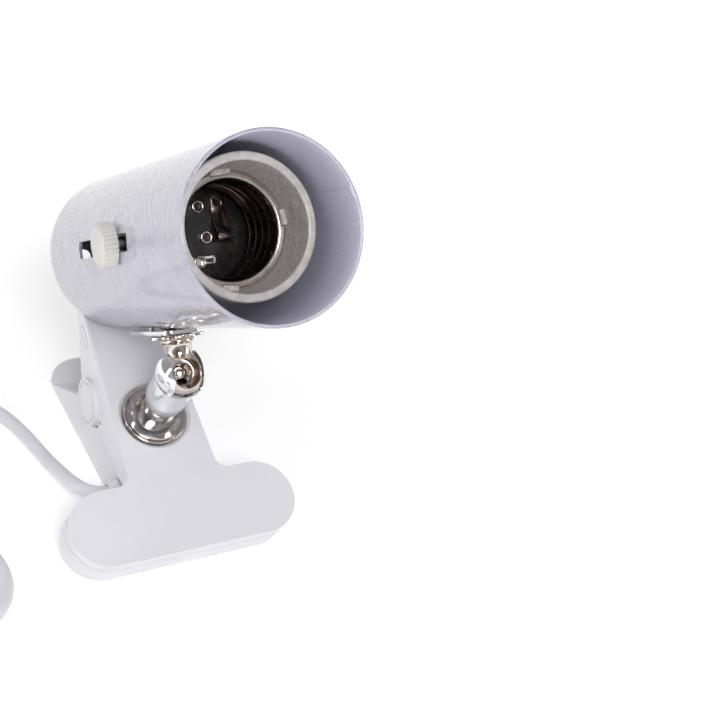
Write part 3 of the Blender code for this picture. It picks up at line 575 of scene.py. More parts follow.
ENAMEL_PAINTED_SHADE = enamel_painted_shade()
INNER_ENAMEL_PAINTED_LIGHT = inner_enamel_painted_light()
CERAMIC = glazed_ceramic()
PALE_GLAZE = pale_glaze()
NICKEL = nickel()
NICKEL_PAINTED_SHADE = nickel_painted_shade()
CHROME = chrome()
# Chrome painted darker and warm brown: painted reflections, for the ring, the neck and the toothed washer.
CHROME_PAINTED_REFLECTION = chrome("chrome_painted_reflection", (0.62, 0.56, 0.52))
ZINC = zinc()
BRASS = brass()
WHITE_PLASTIC = satin_plastic("white_plastic", (0.74, 0.735, 0.775))
IVORY_PLASTIC = satin_plastic("ivory_plastic", (0.60, 0.59, 0.56), 0.42)
BLACK_PLASTIC = satin_plastic("black_plastic", (0.012, 0.012, 0.013), 0.4)
SOFT_RUBBER = satin_plastic("soft_rubber", (0.62, 0.615, 0.65), 0.6)
WHITE_CABLE = cable("white_cable", (0.70, 0.695, 0.74))
RED_CABLE = cable("red_cable", (0.30, 0.05, 0.03))
BLUE_CABLE = cable("blue_cable", (0.03, 0.08, 0.30))
SPRING_WIRE = surface("spring_wire", (0.42, 0.25, 0.12), 0.35, 1.0)
add_wear(SPRING_WIRE, 0.25, 0.5, 500)
NEAR_BLACK_DISC = near_black_disc_look()


# ---------------------------------------------------------------- camera
def make_camera():
    data = bpy.data.cameras.new("camera")
    data.lens = CAMERA_LENS
    data.sensor_width = 36.0
    data.clip_start = 0.01
    camera = link("camera", data)
    camera.location = CAMERA_PLACE
    camera.rotation_euler = [math.radians(a) for a in CAMERA_TURN]
    bpy.context.scene.camera = camera


make_camera()


# ---------------------------------------------------------------- cord
def ring_step(turns):
    """Whole rings passed after so many turns; each step is made in a turn's last sixth."""
    whole = math.floor(turns)
    share = max(0.0, (turns - whole) * 6 - 5)
    return whole + share * share * (3 - 2 * share)


def coil_points():
    """Four rings in along the bottom from the outside, and four out again on the second layer."""
    outer = COIL_MIDDLE + COIL_PITCH * 1.5
    rise_start, rise_end = COIL_CLIMB
    count = round(COIL_TURNS * STEPS_PER_TURN)
    found = []
    for i in range(count + 1):
        turns = COIL_TURNS * i / count
        share = min(1.0, max(0.0, (turns - rise_start) / (rise_end - rise_start)))
        ring = ring_step(turns) if turns < rise_end else 3 - ring_step(turns - rise_end)
        radius = outer - COIL_PITCH * ring
        height = COIL_HEIGHT + COIL_RISE * share * share * (3 - 2 * share)
        angle = math.radians(90 + 360 * turns)
        x = COIL_CENTRE[0] + radius * math.cos(angle)
        y = COIL_CENTRE[1] + radius * math.sin(angle)
        found.append(Vector((x, y, height)))
    return found


def make_cord():
    start = smooth_line([Vector(p) for p in ROUTE], KNOT_SPACING)
    middle = coil_points()
    end = smooth_line([Vector(p) for p in TAIL_ROUTE], KNOT_SPACING)
    line = [lying(*(p * MM)) for p in start + middle + end]
    cord = wire(line, CORD_R, as_mesh=False)
    cord.data.materials.append(WHITE_CABLE)
    cord.name = "supply_cord"
    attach(cord, "rear_clip")
    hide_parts("power_cord", "cord_coil", "cord_tail")
    return cord, line


def make_cord_tie():
    """A flat white tie round the coil's turns."""
    outline = rounded([(17.5, 0.02), (37.5, 0.02), (37.5, 9.9), (17.5, 9.9)], 3.0, 6)
    inner = rounded([(17.9, 0.25), (37.1, 0.25), (37.1, 9.6), (17.9, 9.6)], 2.8, 6)
    strap = extruded([(x * MM, z * MM) for x, z in outline], -2.2 * MM, 2.2 * MM, "XZ")
    cut(strap, extruded([(x * MM, z * MM) for x, z in inner], -4 * MM, 4 * MM, "XZ"))
    strap = soften(strap, 0.12 * MM, 2)
    centre = Matrix.Translation((COIL_CENTRE[0] * MM, COIL_CENTRE[1] * MM, 0))
    tie_angle = math.radians(200)
    matrix = LYING @ centre @ Matrix.Rotation(tie_angle, 4, "Z")
    return place(strap, "cord_tie", WHITE_CABLE, "white_cable", "rear_clip", matrix)


def make_plug():
    """The moulded plug: grooved grips at its sides and a ribbed relief on the cord."""
    relief_length, body_length, ribs = 15 * MM, 26 * MM, 5
    start = PLUG_START - relief_length
    end = start - body_length
    half, shoulder, high = 11.5 * MM, 5 * MM, 13.9 * MM
    outline = [(start, -half + shoulder), (start, half - shoulder), (start - shoulder, half), (end, half)]
    outline += [(end, -half), (start - shoulder, -half)]
    outline = rounded([(x, PLUG_ALONG + y) for x, y in outline], 3 * MM, 5)
    body = soften(extruded(outline, 0.1 * MM, high, "XY"), 1.8 * MM, 4, 50)
    for i in range(ribs):
        x = start - (8 + 2.4 * i) * MM
        for side in (1, -1):
            y = PLUG_ALONG + side * half
            groove = box((x - 0.5 * MM, y - 0.7 * MM, 2.5 * MM), (x + 0.5 * MM, y + 0.7 * MM, 11.5 * MM))
            cut(body, groove)
    profile = [(0.0, 0.0), (2.7 * MM, 0.0), (3.1 * MM, 0.5 * MM)]
    for i in range(ribs):
        y = 1.0 * MM + i * 2.8 * MM
        r = 3.2 * MM + i * 0.3 * MM
        profile += [(r, y), (r, y + 1.5 * MM), (r - 0.6 * MM, y + 1.7 * MM), (r - 0.6 * MM, y + 2.6 * MM)]
    profile += [(4.6 * MM, 16 * MM), (4.6 * MM, 22 * MM), (0.0, 22 * MM)]
    relief = turned(profile, "-X", (PLUG_START - 0.3 * MM, PLUG_ALONG, PLUG_HEIGHT), 40)
    join(body, relief)
    return place(
        body, "plug_moulding", WHITE_PLASTIC, "white_plastic", "rear_clip", LYING, ["plug_body"], 40
    )


cord, cord_line = make_cord()
tie = make_cord_tie()
plug = make_plug()
tuple(cord_line[0])


# ---------------------------------------------------------------- clip
def arm_half(z):
    return ARM_HALF - ARM_TAPER * z


def stadium(inset=0.0):
    """The jaw's outline, seen from the front."""
    r = JAW_R - inset
    right = arc((JAW_CENTRE_X, JAW_Z), r, -90, 90, 40)
    left = arc((-JAW_CENTRE_X, JAW_Z), r, 90, 270, 40)
    return right + left


def tee():
    """The front half's outline: the jaw's round ends below and the tapered arm above."""
    top_half = arm_half(ARM_TOP)
    fillet, corner_r = 4.0 * MM, 9.0 * MM
    root_z = JAW_TOP + fillet
    root_x = arm_half(root_z) + fillet
    corner = (top_half - corner_r, ARM_TOP - corner_r)
    right = arc((JAW_CENTRE_X, JAW_Z), JAW_R, -90, 90, 40)
    right += arc((root_x, root_z), fillet, 270, 180, 14)
    right += arc(corner, corner_r, 0, 90, 16)
    left = [(-x, z) for x, z in reversed(right)]
    return right + left


def front_wall(side):
    """One side wall with the pivot's ear, a ring groove round it and a marked slot above."""
    ear = arc((PIVOT_Y, PIVOT_Z), EAR_R, -95, 52, 30)
    points = [(0.7, -21.0), (6.4, -21.0), (7.0, -18.7)]
    tip = [(5.2, 43.0), (0.7, 43.0)]
    profile = [(y * MM, z * MM) for y, z in points] + ear + [(y * MM, z * MM) for y, z in tip]
    wall = extruded(profile, -1.8 * MM, 0.0, "YZ")
    join(wall, rod(EAR_R, -0.6 * MM, 1.45 * MM, "X", (0, PIVOT_Y, PIVOT_Z), 72))
    ring_groove = [(6.5 * MM, 1.1 * MM), (6.5 * MM, 3 * MM), (7.1 * MM, 3 * MM), (7.1 * MM, 1.1 * MM)]
    cut(wall, turned(ring_groove, "X", (0, PIVOT_Y, PIVOT_Z), 72))
    across, low, high = 5.6 * MM, 31.0 * MM, 36.0 * MM
    outer_line, inner_line = (
        arc((across, high), r, 0, 180, 14) + arc((across, low), r, 180, 360, 14)
        for r in (1.9 * MM, 1.3 * MM)
    )
    groove = extruded(outer_line, -0.35 * MM, 2 * MM, "YZ")
    cut(groove, extruded(inner_line, -3 * MM, 3 * MM, "YZ"))
    cut(wall, groove)
    if side < 0:
        wall.data.transform(Matrix.Scale(-1, 4, (1, 0, 0)))
        wall.data.flip_normals()
    wall.data.transform(Matrix.Rotation(-side * math.atan(ARM_TAPER), 4, "Y"))
    wall.data.transform(Matrix.Translation((side * ARM_HALF, 0, 0)))
    return wall


def make_front_half():
    depth = 5.2 * MM
    piece = extruded(tee(), 0.0, depth, "XZ")
    low_z, high_z = JAW_TOP + 1.0 * MM, ARM_TOP - 2.2 * MM
    right = [(arm_half(low_z) - 1.8 * MM, low_z), (arm_half(36 * MM) - 1.8 * MM, 37 * MM)]
    right.append((arm_half(high_z) - 6.8 * MM, high_z))
    left = [(-x, z) for x, z in reversed(right)]
    cut(piece, extruded(right + left, 2.2 * MM, 8 * MM, "XZ"))
    cut(piece, extruded(stadium(2.0 * MM), depth - 2.6 * MM, 8 * MM, "XZ"))
    rib_line = stadium(-1 * MM)
    groove = extruded(rib_line, 3.5 * MM, 4.0 * MM, "XZ")
    cut(groove, extruded(stadium(0.35 * MM), 0, 9 * MM, "XZ"))
    keep = box((-60 * MM, 3 * MM, -60 * MM), (60 * MM, 5 * MM, JAW_TOP - 1.2 * MM))
    combine(groove, keep, "INTERSECT")
    cut(piece, groove)
    join(piece, front_wall(1), front_wall(-1))
    join(piece, rod(12 * MM, 1.0 * MM, 4.6 * MM, "Y", sides=72))
    dish = [(0, -1 * MM), (RECESS_R + 1 * MM, -1 * MM), (RECESS_R, 0.0), (11 * MM, 1 * MM)]
    dish += [(11 * MM, 2 * MM), (0, 2 * MM)]
    cut(piece, turned(dish, "Y", steps=96))
    cut(piece, rod(3.7 * MM, -2 * MM, 8 * MM, "Y"))
    piece = soften(piece, 0.55 * MM, 3)
    return place(piece, "front_half", WHITE_PLASTIC, "white_plastic", "front_clip", CLIP, ["front_clip_half"])


def make_rear_half():
    piece = extruded(stadium(), REAR_JAW_FACE, JAW_BACK, "XZ")
    turn = CLIP.inverted() @ LYING
    outline = [(-REAR_HALF_WIDTH, 0.6 * MM), (REAR_HALF_WIDTH, 0.6 * MM)]
    outline += arc((0, REAR_LENGTH - REAR_HALF_WIDTH), REAR_HALF_WIDTH, 0, 180, 48)
    back = extruded(outline, 0.0, 2.2 * MM, "XY")
    back.data.transform(turn)
    join(piece, back)
    clear = arc((PIVOT_Y, PIVOT_Z), EAR_R + 0.55 * MM, 35, -88, 28)
    low, tip = (turn @ Vector((0, a * MM, 1.0 * MM)) for a in (4, 96))
    profile = [(low.y, low.z), (tip.y, tip.z), (50.0 * MM, 38.0 * MM), (27.4 * MM, 22.4 * MM)] + clear
    profile += [(7.6 * MM, -18.9 * MM), (7.0 * MM, -21.4 * MM), (8.0 * MM, -43.0 * MM)]
    tab = [(26.5 * MM, 8.5 * MM), (26.5 * MM, 20.0 * MM)]
    tab += arc((PIVOT_Y, PIVOT_Z), 6.2 * MM, 70, 290, 30)
    for side in (1, -1):
        edges = sorted((side * REAR_HALF_WIDTH, side * (REAR_HALF_WIDTH - 2 * MM)))
        join(piece, extruded(profile, *edges, "YZ"))
        edges = sorted((side * 11.4 * MM, side * 9.4 * MM))
        join(piece, extruded(tab, *edges, "YZ"))
    for start in (52 * MM, 74 * MM):
        rib = box((-12 * MM, start, 1 * MM), (12 * MM, start + 1.4 * MM, 6 * MM))
        rib.data.transform(turn)
        join(piece, rib)
    cut(piece, extruded(stadium(2.0 * MM), 0, REAR_JAW_FACE + 2.6 * MM, "XZ"))
    exit_at = turn @ Vector((0, BUSH_ALONG, BUSH_HEIGHT))
    cut(piece, rod(3.4 * MM, -15 * MM, -9 * MM, "X", exit_at))
    piece = soften(piece, 0.5 * MM, 3)
    return place(piece, "rear_half", WHITE_PLASTIC, "white_plastic", "rear_clip", CLIP, ["rear_clip_half"])


def make_grommet():
    centre = CLIP.inverted() @ lying(0, BUSH_ALONG, BUSH_HEIGHT)
    bore, out, inside = 2.45 * MM, REAR_HALF_WIDTH + 0.05 * MM, 10.6 * MM
    profile = [(bore, out + 3.6 * MM), (3.0 * MM, out + 3.6 * MM)]
    profile += [(4.3 * MM, out + 1.2 * MM), (4.3 * MM, out)]
    profile += [(3.1 * MM, out), (3.1 * MM, inside), (4.0 * MM, inside), (4.0 * MM, inside - 1.2 * MM)]
    profile += [(bore, inside - 1.2 * MM)]
    piece = turned_round(profile, 0.4 * MM, "-X", centre, 48)
    return place(piece, "cord_bush", WHITE_PLASTIC, "soft_rubber", "rear_clip", CLIP, ["cord_grommet"])


def make_spring():
    turns, coil_r, half = 6, 4.0 * MM, 6.6 * MM
    points = [Vector((-half, 3.3 * MM, 37 * MM)), Vector((-half, 6.5 * MM, 30 * MM))]
    start, sweep, count = 155.0, 360.0 * turns - 100.0, 6 * 28
    for i in range(count + 1):
        angle = math.radians(start + sweep * i / count)
        x = -half + 2 * half * i / count
        points.append(Vector((x, PIVOT_Y + coil_r * math.cos(angle), PIVOT_Z + coil_r * math.sin(angle))))
    tip = CLIP.inverted() @ lying(half, 84 * MM, 3.3 * MM)
    points.append(Vector((half, 20.5 * MM, 19.0 * MM)).lerp(tip, 0.25))
    points.append(tip)
    piece = wire(points, 0.65 * MM)
    piece.name = "spring"
    piece.data.materials.append(SPRING_WIRE)
    piece.data.shade_smooth()
    piece.data.transform(CLIP)
    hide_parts("torsion_spring")
    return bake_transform(piece)


def make_spring_stub():
    """The spring's bent end, which shows in the gap under the pivot's boss."""
    points = [Vector((-11.2, 13.0, 5.4)), Vector((-13.4, 12.6, 5.0)), Vector((-14.3, 11.9, 4.9))]
    piece = wire([p * MM for p in points], 0.6 * MM)
    return place(piece, "spring_stub", SPRING_WIRE, "steel", "rear_clip", CLIP, (), 60)


make_front_half()
make_rear_half()
make_grommet()
make_spring()
make_spring_stub()


# ---------------------------------------------------------------- swivel
def make_ring():
    rim, foot = 10.6 * MM, POST_R + 0.3 * MM
    profile = [(rim, 1.6 * MM), (rim, 0.45 * MM)]
    profile += arc((rim - 0.45 * MM, 0.5 * MM), 0.4 * MM, 0, -120, 6)
    profile += [(rim - 1.3 * MM, 0.75 * MM), (rim - 2.1 * MM, 1.05 * MM), (foot, 1.15 * MM), (foot, 1.6 * MM)]
    piece = turned(profile, "Y", steps=120)
    return place(piece, "dished_ring", CHROME_PAINTED_REFLECTION, "chrome", "front_clip", CLIP, ["base_ring"], 50)


def make_post():
    foot = -1.7 * MM
    meet = BALL_OUT - math.sqrt(HOOD_R**2 - POST_R**2)
    start = math.degrees(math.atan2(meet - BALL_OUT, POST_R))
    outer = arc((0, BALL_OUT), HOOD_R, 90, start, 40)
    blend_in = [(POST_R + 0.05 * MM, meet - 0.5 * MM), (POST_R, meet - 1.2 * MM)]
    profile = [*outer, *blend_in, (POST_R, foot), (3.4 * MM, foot), (3.4 * MM, -10.5 * MM), (0, -10.5 * MM)]
    piece = turned(profile, "-Y", steps=96)
    cut(piece, rod(2.0 * MM, -12 * MM, BALL_OUT, "-Y", sides=32))
    cut(piece, turned(arc((0, BALL_OUT), BALL_R + 0.15 * MM, 90, -90, 40), "-Y", steps=96))
    low = BALL_OUT - 1.35 * MM
    cut(piece, box((-4.7 * MM, -BALL_OUT - 12 * MM, -12 * MM), (4.7 * MM, -low, 12 * MM)))
    piece = soften(piece, 0.16 * MM, 2, 40)
    return place(piece, "post", CHROME, "chrome", "swivel_post", CLIP, ["swivel_post"], 40)


def make_neck():
    bore, inner = 3.0 * MM, 5.7 * MM
    collar = (9.5 * MM, 10.5 * MM)
    meet = math.degrees(math.acos(NECK_R / BALL_R))
    low = math.degrees(math.acos(bore / BALL_R))
    deep = math.degrees(math.acos(bore / inner))
    profile = [(bore, 21.8 * MM), (THREAD_R - 0.4 * MM, 21.8 * MM)]
    top, pitch = 21.4 * MM, 1.0 * MM
    count = int((top - collar[1]) / pitch)
    for i in range(count):
        z = top - i * pitch
        profile += [(THREAD_R, z - 0.25 * MM), (THREAD_R - 0.35 * MM, z - 0.75 * MM)]
    profile += [(5.3 * MM, collar[1]), (5.4 * MM, collar[1] - 0.3 * MM), (5.4 * MM, collar[0] + 0.2 * MM)]
    profile += [(5.1 * MM, collar[0]), (NECK_R + 0.4 * MM, collar[0] - 0.3 * MM)]
    profile += [(NECK_R, collar[0] - 1 * MM)]
    profile += arc((0, 0), BALL_R, meet, -low, 36)
    profile += arc((0, 0), inner, -deep, deep, 24)
    piece = turned(profile, "Z", steps=96)
    cut(piece, rod(4.6 * MM, 0, 10 * MM, "-Y", sides=64))
    piece = soften(piece, 0.14 * MM, 2, 48)
    return place(piece, "neck", CHROME_PAINTED_REFLECTION, "chrome", "head", HEAD, ["swivel_neck"], 40)


def make_star():
    teeth, low, high = 18, 10.8 * MM, 11.9 * MM
    outline = []
    for i in range(teeth):
        for share, radius in ((0.0, 7.2), (0.14, 8.4), (0.46, 8.4), (0.6, 7.2)):
            outline.append(arc((0, 0), radius * MM, 360 * (i + share) / teeth, 0, 1)[0])
    piece = extruded(outline, low + 0.25 * MM, high - 0.25 * MM, "XY")
    cut(piece, rod(THREAD_R + 0.25 * MM, 0, 20 * MM))
    for vertex in piece.data.vertices:
        reach = math.hypot(vertex.co.x, vertex.co.y)
        angle = math.atan2(vertex.co.y, vertex.co.x) * teeth
        if reach > 7.8 * MM:
            vertex.co.z += 0.25 * MM * math.sin(angle + 0.6)
    piece = soften(piece, 0.08 * MM, 2)
    return place(piece, "toothed_washer", CHROME_PAINTED_REFLECTION, "chrome", "head", HEAD, ["star_washer"], 30)


def make_plate():
    half, low, high = 6.5 * MM, 12.3 * MM, 13.5 * MM
    outline = arc((half - 3 * MM, -4.7 * MM), 3 * MM, -90, 0, 12)
    outline += arc((half - 3 * MM, 25.5 * MM), 3 * MM, 0, 90, 12)
    outline += [(-x, y) for x, y in reversed(outline)]
    piece = extruded(outline, low, high, "XY")
    cut(piece, rod(THREAD_R + 0.25 * MM, 0, 20 * MM))
    cut(piece, rod(RIVET_HOLE_R, 0, 20 * MM, centre=(0, RIVET_Y, 0)))
    piece = soften(piece, 0.3 * MM, 3)
    return place(piece, "mounting_strip", CHROME, "chrome", "head", HEAD, ["bracket_plate"])


make_ring()
make_post()
make_neck()
make_star()
make_plate()


# ---------------------------------------------------------------- shade
def make_shade():
    """The rolled tube: a rounded rim, slight unevenness, a slot for the switch and holes for the neck."""
    outer, inner = SHADE_R, SHADE_R - SHADE_WALL
    middle, half = (outer + inner) / 2, SHADE_WALL / 2
    rows, inner_rows = 70, 35
    length = TAIL_Y - MOUTH_Y - 2 * half
    profile = arc((middle, MOUTH_Y + half), half, 180, 360, 10)
    for i in range(1, rows):
        profile.append((outer, MOUTH_Y + half + length * i / rows))
    profile += arc((middle, TAIL_Y - half), half, 0, 180, 6)
    for i in range(1, inner_rows):
        profile.append((inner, TAIL_Y - half - length * i / inner_rows))
    piece = turned(profile, "Y", (0, 0, AXIS_Z), 180)
    front, back, side = -39.8, 6.0, 2.5
    slot = rounded([(front, -side), (back, -side), (back, side), (front, side)], 0.8, 4)
    cut(piece, extruded([(y * MM, KNOB_Z + z * MM) for y, z in slot], -30 * MM, -20 * MM, "YZ"))
    cut(piece, rod(THREAD_R + 0.3 * MM, 5 * MM, 20 * MM))
    cut(piece, rod(RIVET_HOLE_R, 5 * MM, 20 * MM, centre=(0, RIVET_Y, 0)))
    for vertex in piece.data.vertices:
        x, y, z = vertex.co.x, vertex.co.y, vertex.co.z - AXIS_Z
        reach = math.hypot(x, z)
        if reach < inner - 1 * MM:
            continue
        dent = 0.10 * MM * (noise.noise(Vector((x * 45, y * 28, z * 45))) - 0.25)
        scale = (reach + min(dent, 0.0)) / reach
        vertex.co.x = x * scale
        vertex.co.z = AXIS_Z + z * scale
    piece.data.materials.append(ENAMEL_PAINTED_SHADE)
    piece.data.materials.append(INNER_ENAMEL_PAINTED_LIGHT)
    # Faces inside the tube take the enamel painted lighter, those outside the enamel painted darker: painted
    # light and painted shade.
    for face in piece.data.polygons:
        centre = face.center
        reach = math.hypot(centre.x, centre.z - AXIS_Z)
        face.material_index = 1 if reach < middle - 0.25 * MM else 0
    return place(piece, "shade", ENAMEL_PAINTED_SHADE, "white_paint", "head", HEAD, ["shade_tube"], 50)


def make_lap_seam():
    """The tube's overlapped edge, inside, just above the middle of the right side."""
    centre, wall = (0, AXIS_Z), SHADE_R - SHADE_WALL
    outline = arc(centre, wall + 0.1 * MM, 9, 20.8, 12)
    outline += arc(centre, wall - 0.32 * MM, 20.8, 17.5, 5)
    outline += arc(centre, wall - 0.05 * MM, 12, 9, 3)
    piece = extruded(outline, MOUTH_Y + 0.6 * MM, TAIL_Y - 8 * MM, "XZ")
    return place(piece, "shade_seam", INNER_ENAMEL_PAINTED_LIGHT, "white_paint", "head", HEAD, (), 30)


def make_back_cap():
    outer = SHADE_R - SHADE_WALL - 0.25 * MM
    front, back = TAIL_Y - 7 * MM, TAIL_Y - 0.8 * MM
    profile = [(0, back - 0.3 * MM), (10 * MM, back - 0.3 * MM), (11 * MM, back - 0.6 * MM)]
    profile += [(18 * MM, back - 0.6 * MM), (19 * MM, back - 0.1 * MM), (outer - 2.2 * MM, back)]
    profile += arc((outer - 1.6 * MM, back - 1.6 * MM), 1.6 * MM, 90, 0, 8)
    profile += [(outer, front), (outer - 0.8 * MM, front)]
    profile += arc((outer - 1.8 * MM, back - 1.8 * MM), 1.0 * MM, 0, 90, 8)
    profile += [(0, back - 1.1 * MM)]
    piece = turned(profile, "Y", (0, 0, AXIS_Z), 120)
    for i in range(8):
        x, z = arc((0, AXIS_Z), 14.5 * MM, 45 * i, 0, 1)[0]
        cut(piece, rod(2.3 * MM, 20 * MM, 60 * MM, "Y", (x, 0, z), 32))
    return place(piece, "back_cap", ENAMEL_PAINTED_SHADE, "white_paint", "head", HEAD, ["shade_back_cap"], 40)


make_shade()
make_lap_seam()
make_back_cap()


# ---------------------------------------------------------------- lampholder
TABS = ((8, 2.2), (95, 2.9), (262, 2.4))  # angle from the right and half width in millimetres


def tab_box(angle, low_r, high_r, front, back, half):
    piece = box((low_r, front, -half), (high_r, back, half))
    piece.data.transform(Matrix.Rotation(math.radians(-angle), 4, "Y"))
    piece.data.transform(Matrix.Translation((0, 0, HOLDER_Z)))
    return piece


def make_holder():
    """Glazed ceramic: its front ring is smooth and pale, the funnel behind it rough."""
    front = HOLDER_FRONT
    profile = [(0, HOLDER_BACK), (0, FLOOR_Y), (15.0 * MM, FLOOR_Y), (15.0 * MM, -51.4 * MM)]
    profile += [(15.9 * MM, -51.7 * MM), (16.2 * MM, -53.0 * MM), (17.2 * MM, -63.6 * MM)]
    profile += arc((17.9 * MM, front + 0.6 * MM), 0.6 * MM, 180, 270, 5)
    profile += arc((18.9 * MM, front + 0.8 * MM), 0.8 * MM, 270, 360, 8)
    profile += [(19.7 * MM, -46.4 * MM), (19.4 * MM, -45.4 * MM)]
    profile += [(17.4 * MM, -43.9 * MM), (17.0 * MM, -43.0 * MM)]
    profile += [(17.0 * MM, HOLDER_BACK - 1 * MM), (16.0 * MM, HOLDER_BACK)]
    piece = turned(profile, "Y", (0, 0, HOLDER_Z), 144)
    for angle, half in TABS:
        tab = tab_box(angle, 14.75 * MM, 16.6 * MM, -53.6 * MM, -51.0 * MM, half * MM)
        join(piece, soften(tab, 0.35 * MM, 3))
    for side in (1, -1):
        cut(piece, rod(1.8 * MM, -26 * MM, -14 * MM, "Y", (0, 0, HOLDER_Z + side * SCREW_RISE)))
        cut(piece, rod(1.5 * MM, -25 * MM, -14 * MM, "Y", (side * 9 * MM, 0, 38.0 * MM)))
    cut(piece, box((-20 * MM, -37 * MM, KNOB_Z - 8 * MM), (-14.6 * MM, -20 * MM, KNOB_Z + 8 * MM)))
    piece.data.materials.append(CERAMIC)
    piece.data.materials.append(PALE_GLAZE)
    for face in piece.data.polygons:
        reach = math.hypot(face.center.x, face.center.z - HOLDER_Z)
        at_ring = face.center.y < front + 1.4 * MM and reach > 17.25 * MM
        outside = reach > 19.0 * MM
        face.material_index = 1 if at_ring or outside else 0
    return place(piece, "lampholder", CERAMIC, "ceramic", "head", HEAD, ["socket_body"], 40)


def make_shell():
    lip, tube, wall = 15.7 * MM, 14.0 * MM, 0.7 * MM
    waves, per_wave = 4, 14
    outside, inside = [], []
    start = SHELL_FRONT + 1.6 * MM
    for i in range(waves * per_wave + 1):
        y = start + (SHELL_BACK - start) * i / (waves * per_wave)
        r = tube + 0.4 * MM * math.cos(2 * math.pi * i / per_wave)
        outside.append((r, y))
        inside.append((r - wall, y))
    mouth = arc((tube + 0.5 * MM, SHELL_FRONT + 0.85 * MM), 0.85 * MM, 215, 270, 6)
    profile = mouth + arc((lip - 0.35 * MM, SHELL_FRONT + 0.35 * MM), 0.35 * MM, 270, 360, 6)
    profile += [(lip, SHELL_FRONT + 0.8 * MM), (tube + 0.45 * MM, SHELL_FRONT + 0.85 * MM)]
    profile += [*outside, *reversed(inside)]
    piece = turned(profile, "Y", (0, 0, HOLDER_Z), 144)
    for angle, half in TABS:
        cut(piece, tab_box(angle, 14.6 * MM, 17 * MM, -54 * MM, -51.8 * MM, (half + 0.15) * MM))
    piece.data.materials.append(NICKEL)
    piece.data.materials.append(NICKEL_PAINTED_SHADE)
    # Past its lip the shell takes the nickel painted nearly black: painted shade down the bore.
    for face in piece.data.polygons:
        face.material_index = 1 if face.center.y > SHELL_FRONT + 1.3 * MM else 0
    return place(piece, "shell", NICKEL, "nickel", "head", HEAD, ["screw_shell"], 45)


def make_floor_disc():
    """A thin, nearly black disc on the lampholder's floor."""
    profile = [(0, FLOOR_Y), (0, FLOOR_Y - 0.22 * MM), (12.6 * MM, FLOOR_Y - 0.22 * MM), (14.6 * MM, FLOOR_Y)]
    piece = turned(profile, "Y", (0, 0, HOLDER_Z), 96)
    return place(piece, "holder_floor", NEAR_BLACK_DISC, "black_plastic", "head", HEAD, (), 30)


def make_tongue():
    """The lamp's centre contact: a bent tongue that rises from the floor."""
    base = FLOOR_Y / MM - 0.3
    knots = [Vector((0, base - 0.3, z)) for z in (11.0, 8.5, 6.2)]
    knots += [Vector((0, base - 1.4, 3.0)), Vector((0, base - 3.0, 0.0)), Vector((0, base - 3.3, -1.4))]
    knots += [Vector((0, base - 2.6, -2.5))]
    line = smooth_line(knots, 0.6)
    upper = [(p.y * MM, HOLDER_Z + p.z * MM) for p in line]
    lower = [((p.y - 0.45) * MM, HOLDER_Z + p.z * MM) for p in reversed(line)]
    piece = extruded(upper + lower, 3.6 * MM, 7.6 * MM, "YZ")
    cut(piece, rod(0.9 * MM, -40 * MM, -30 * MM, "Y", (5.6 * MM, 0, HOLDER_Z + 8.6 * MM), 24))
    piece = soften(piece, 0.12 * MM, 2)
    # The tongue takes the nickel painted nearly black: painted shade on the bore's floor.
    return place(piece, "contact_tongue", NICKEL_PAINTED_SHADE, "brass", "head", HEAD, ["centre_contact"], 40)


def eyelet(name, x, z, replaces=(), base=CONTACT_BASE):
    outer, inner, height = 1.9 * MM, 1.05 * MM, 1.1 * MM
    profile = [(inner, base), (outer, base), (outer, base - 0.35 * MM)]
    profile += arc((outer - 0.42 * MM, base - height + 0.42 * MM), 0.42 * MM, 0, -180, 8)
    piece = turned(profile, "Y", (x, 0, HOLDER_Z + z), 48)
    return place(piece, name, NICKEL, "nickel", "head", HEAD, replaces, 40)


def make_strap():
    base, middle, end_r = CONTACT_BASE, HOLDER_Z - 7.4 * MM, 1.3 * MM
    outline = arc((-4.4 * MM, middle), end_r, 90, 270, 16)
    outline += arc((2.2 * MM, middle), end_r, -90, 90, 16)
    piece = extruded(outline, base - 0.7 * MM, base - 0.05 * MM, "XZ")
    cut(piece, rod(0.6 * MM, base - 2 * MM, base + 1 * MM, "Y", (1.9 * MM, 0, middle), 24))
    piece = soften(piece, 0.15 * MM, 3)
    return place(piece, "shell_lead_strap", CHROME, "nickel", "head", HEAD, ["shell_strap"])


def make_screw(name, side, replaces):
    """A pan head with a cross recess."""
    centre = (0, 0, HOLDER_Z + side * SCREW_RISE)
    head = HOLDER_BACK + 1.8 * MM
    profile = [(0, head + 1.6 * MM)]
    profile += arc((0, head - 2.2 * MM), 3.8 * MM, 88, 50, 8)
    profile += [(2.8 * MM, head + 0.6 * MM), (2.8 * MM, head), (1.5 * MM, head)]
    tip = HOLDER_BACK - 7 * MM
    for i in range(8):
        y = head - (0.6 + i * 0.9) * MM
        profile += [(1.5 * MM, y), (1.15 * MM, y - 0.45 * MM)]
    profile += [(1.2 * MM, tip + 0.6 * MM), (0, tip)]
    piece = turned(profile, "Y", centre, 48)
    for turn in (25, 115):
        slot = box((-2.1 * MM, head + 0.7 * MM, -0.35 * MM), (2.1 * MM, head + 3 * MM, 0.35 * MM))
        slot.data.transform(Matrix.Translation(centre) @ Matrix.Rotation(math.radians(turn), 4, "Y"))
        cut(piece, slot)
    return place(piece, name, ZINC, "steel", "head", HEAD, replaces, 40)


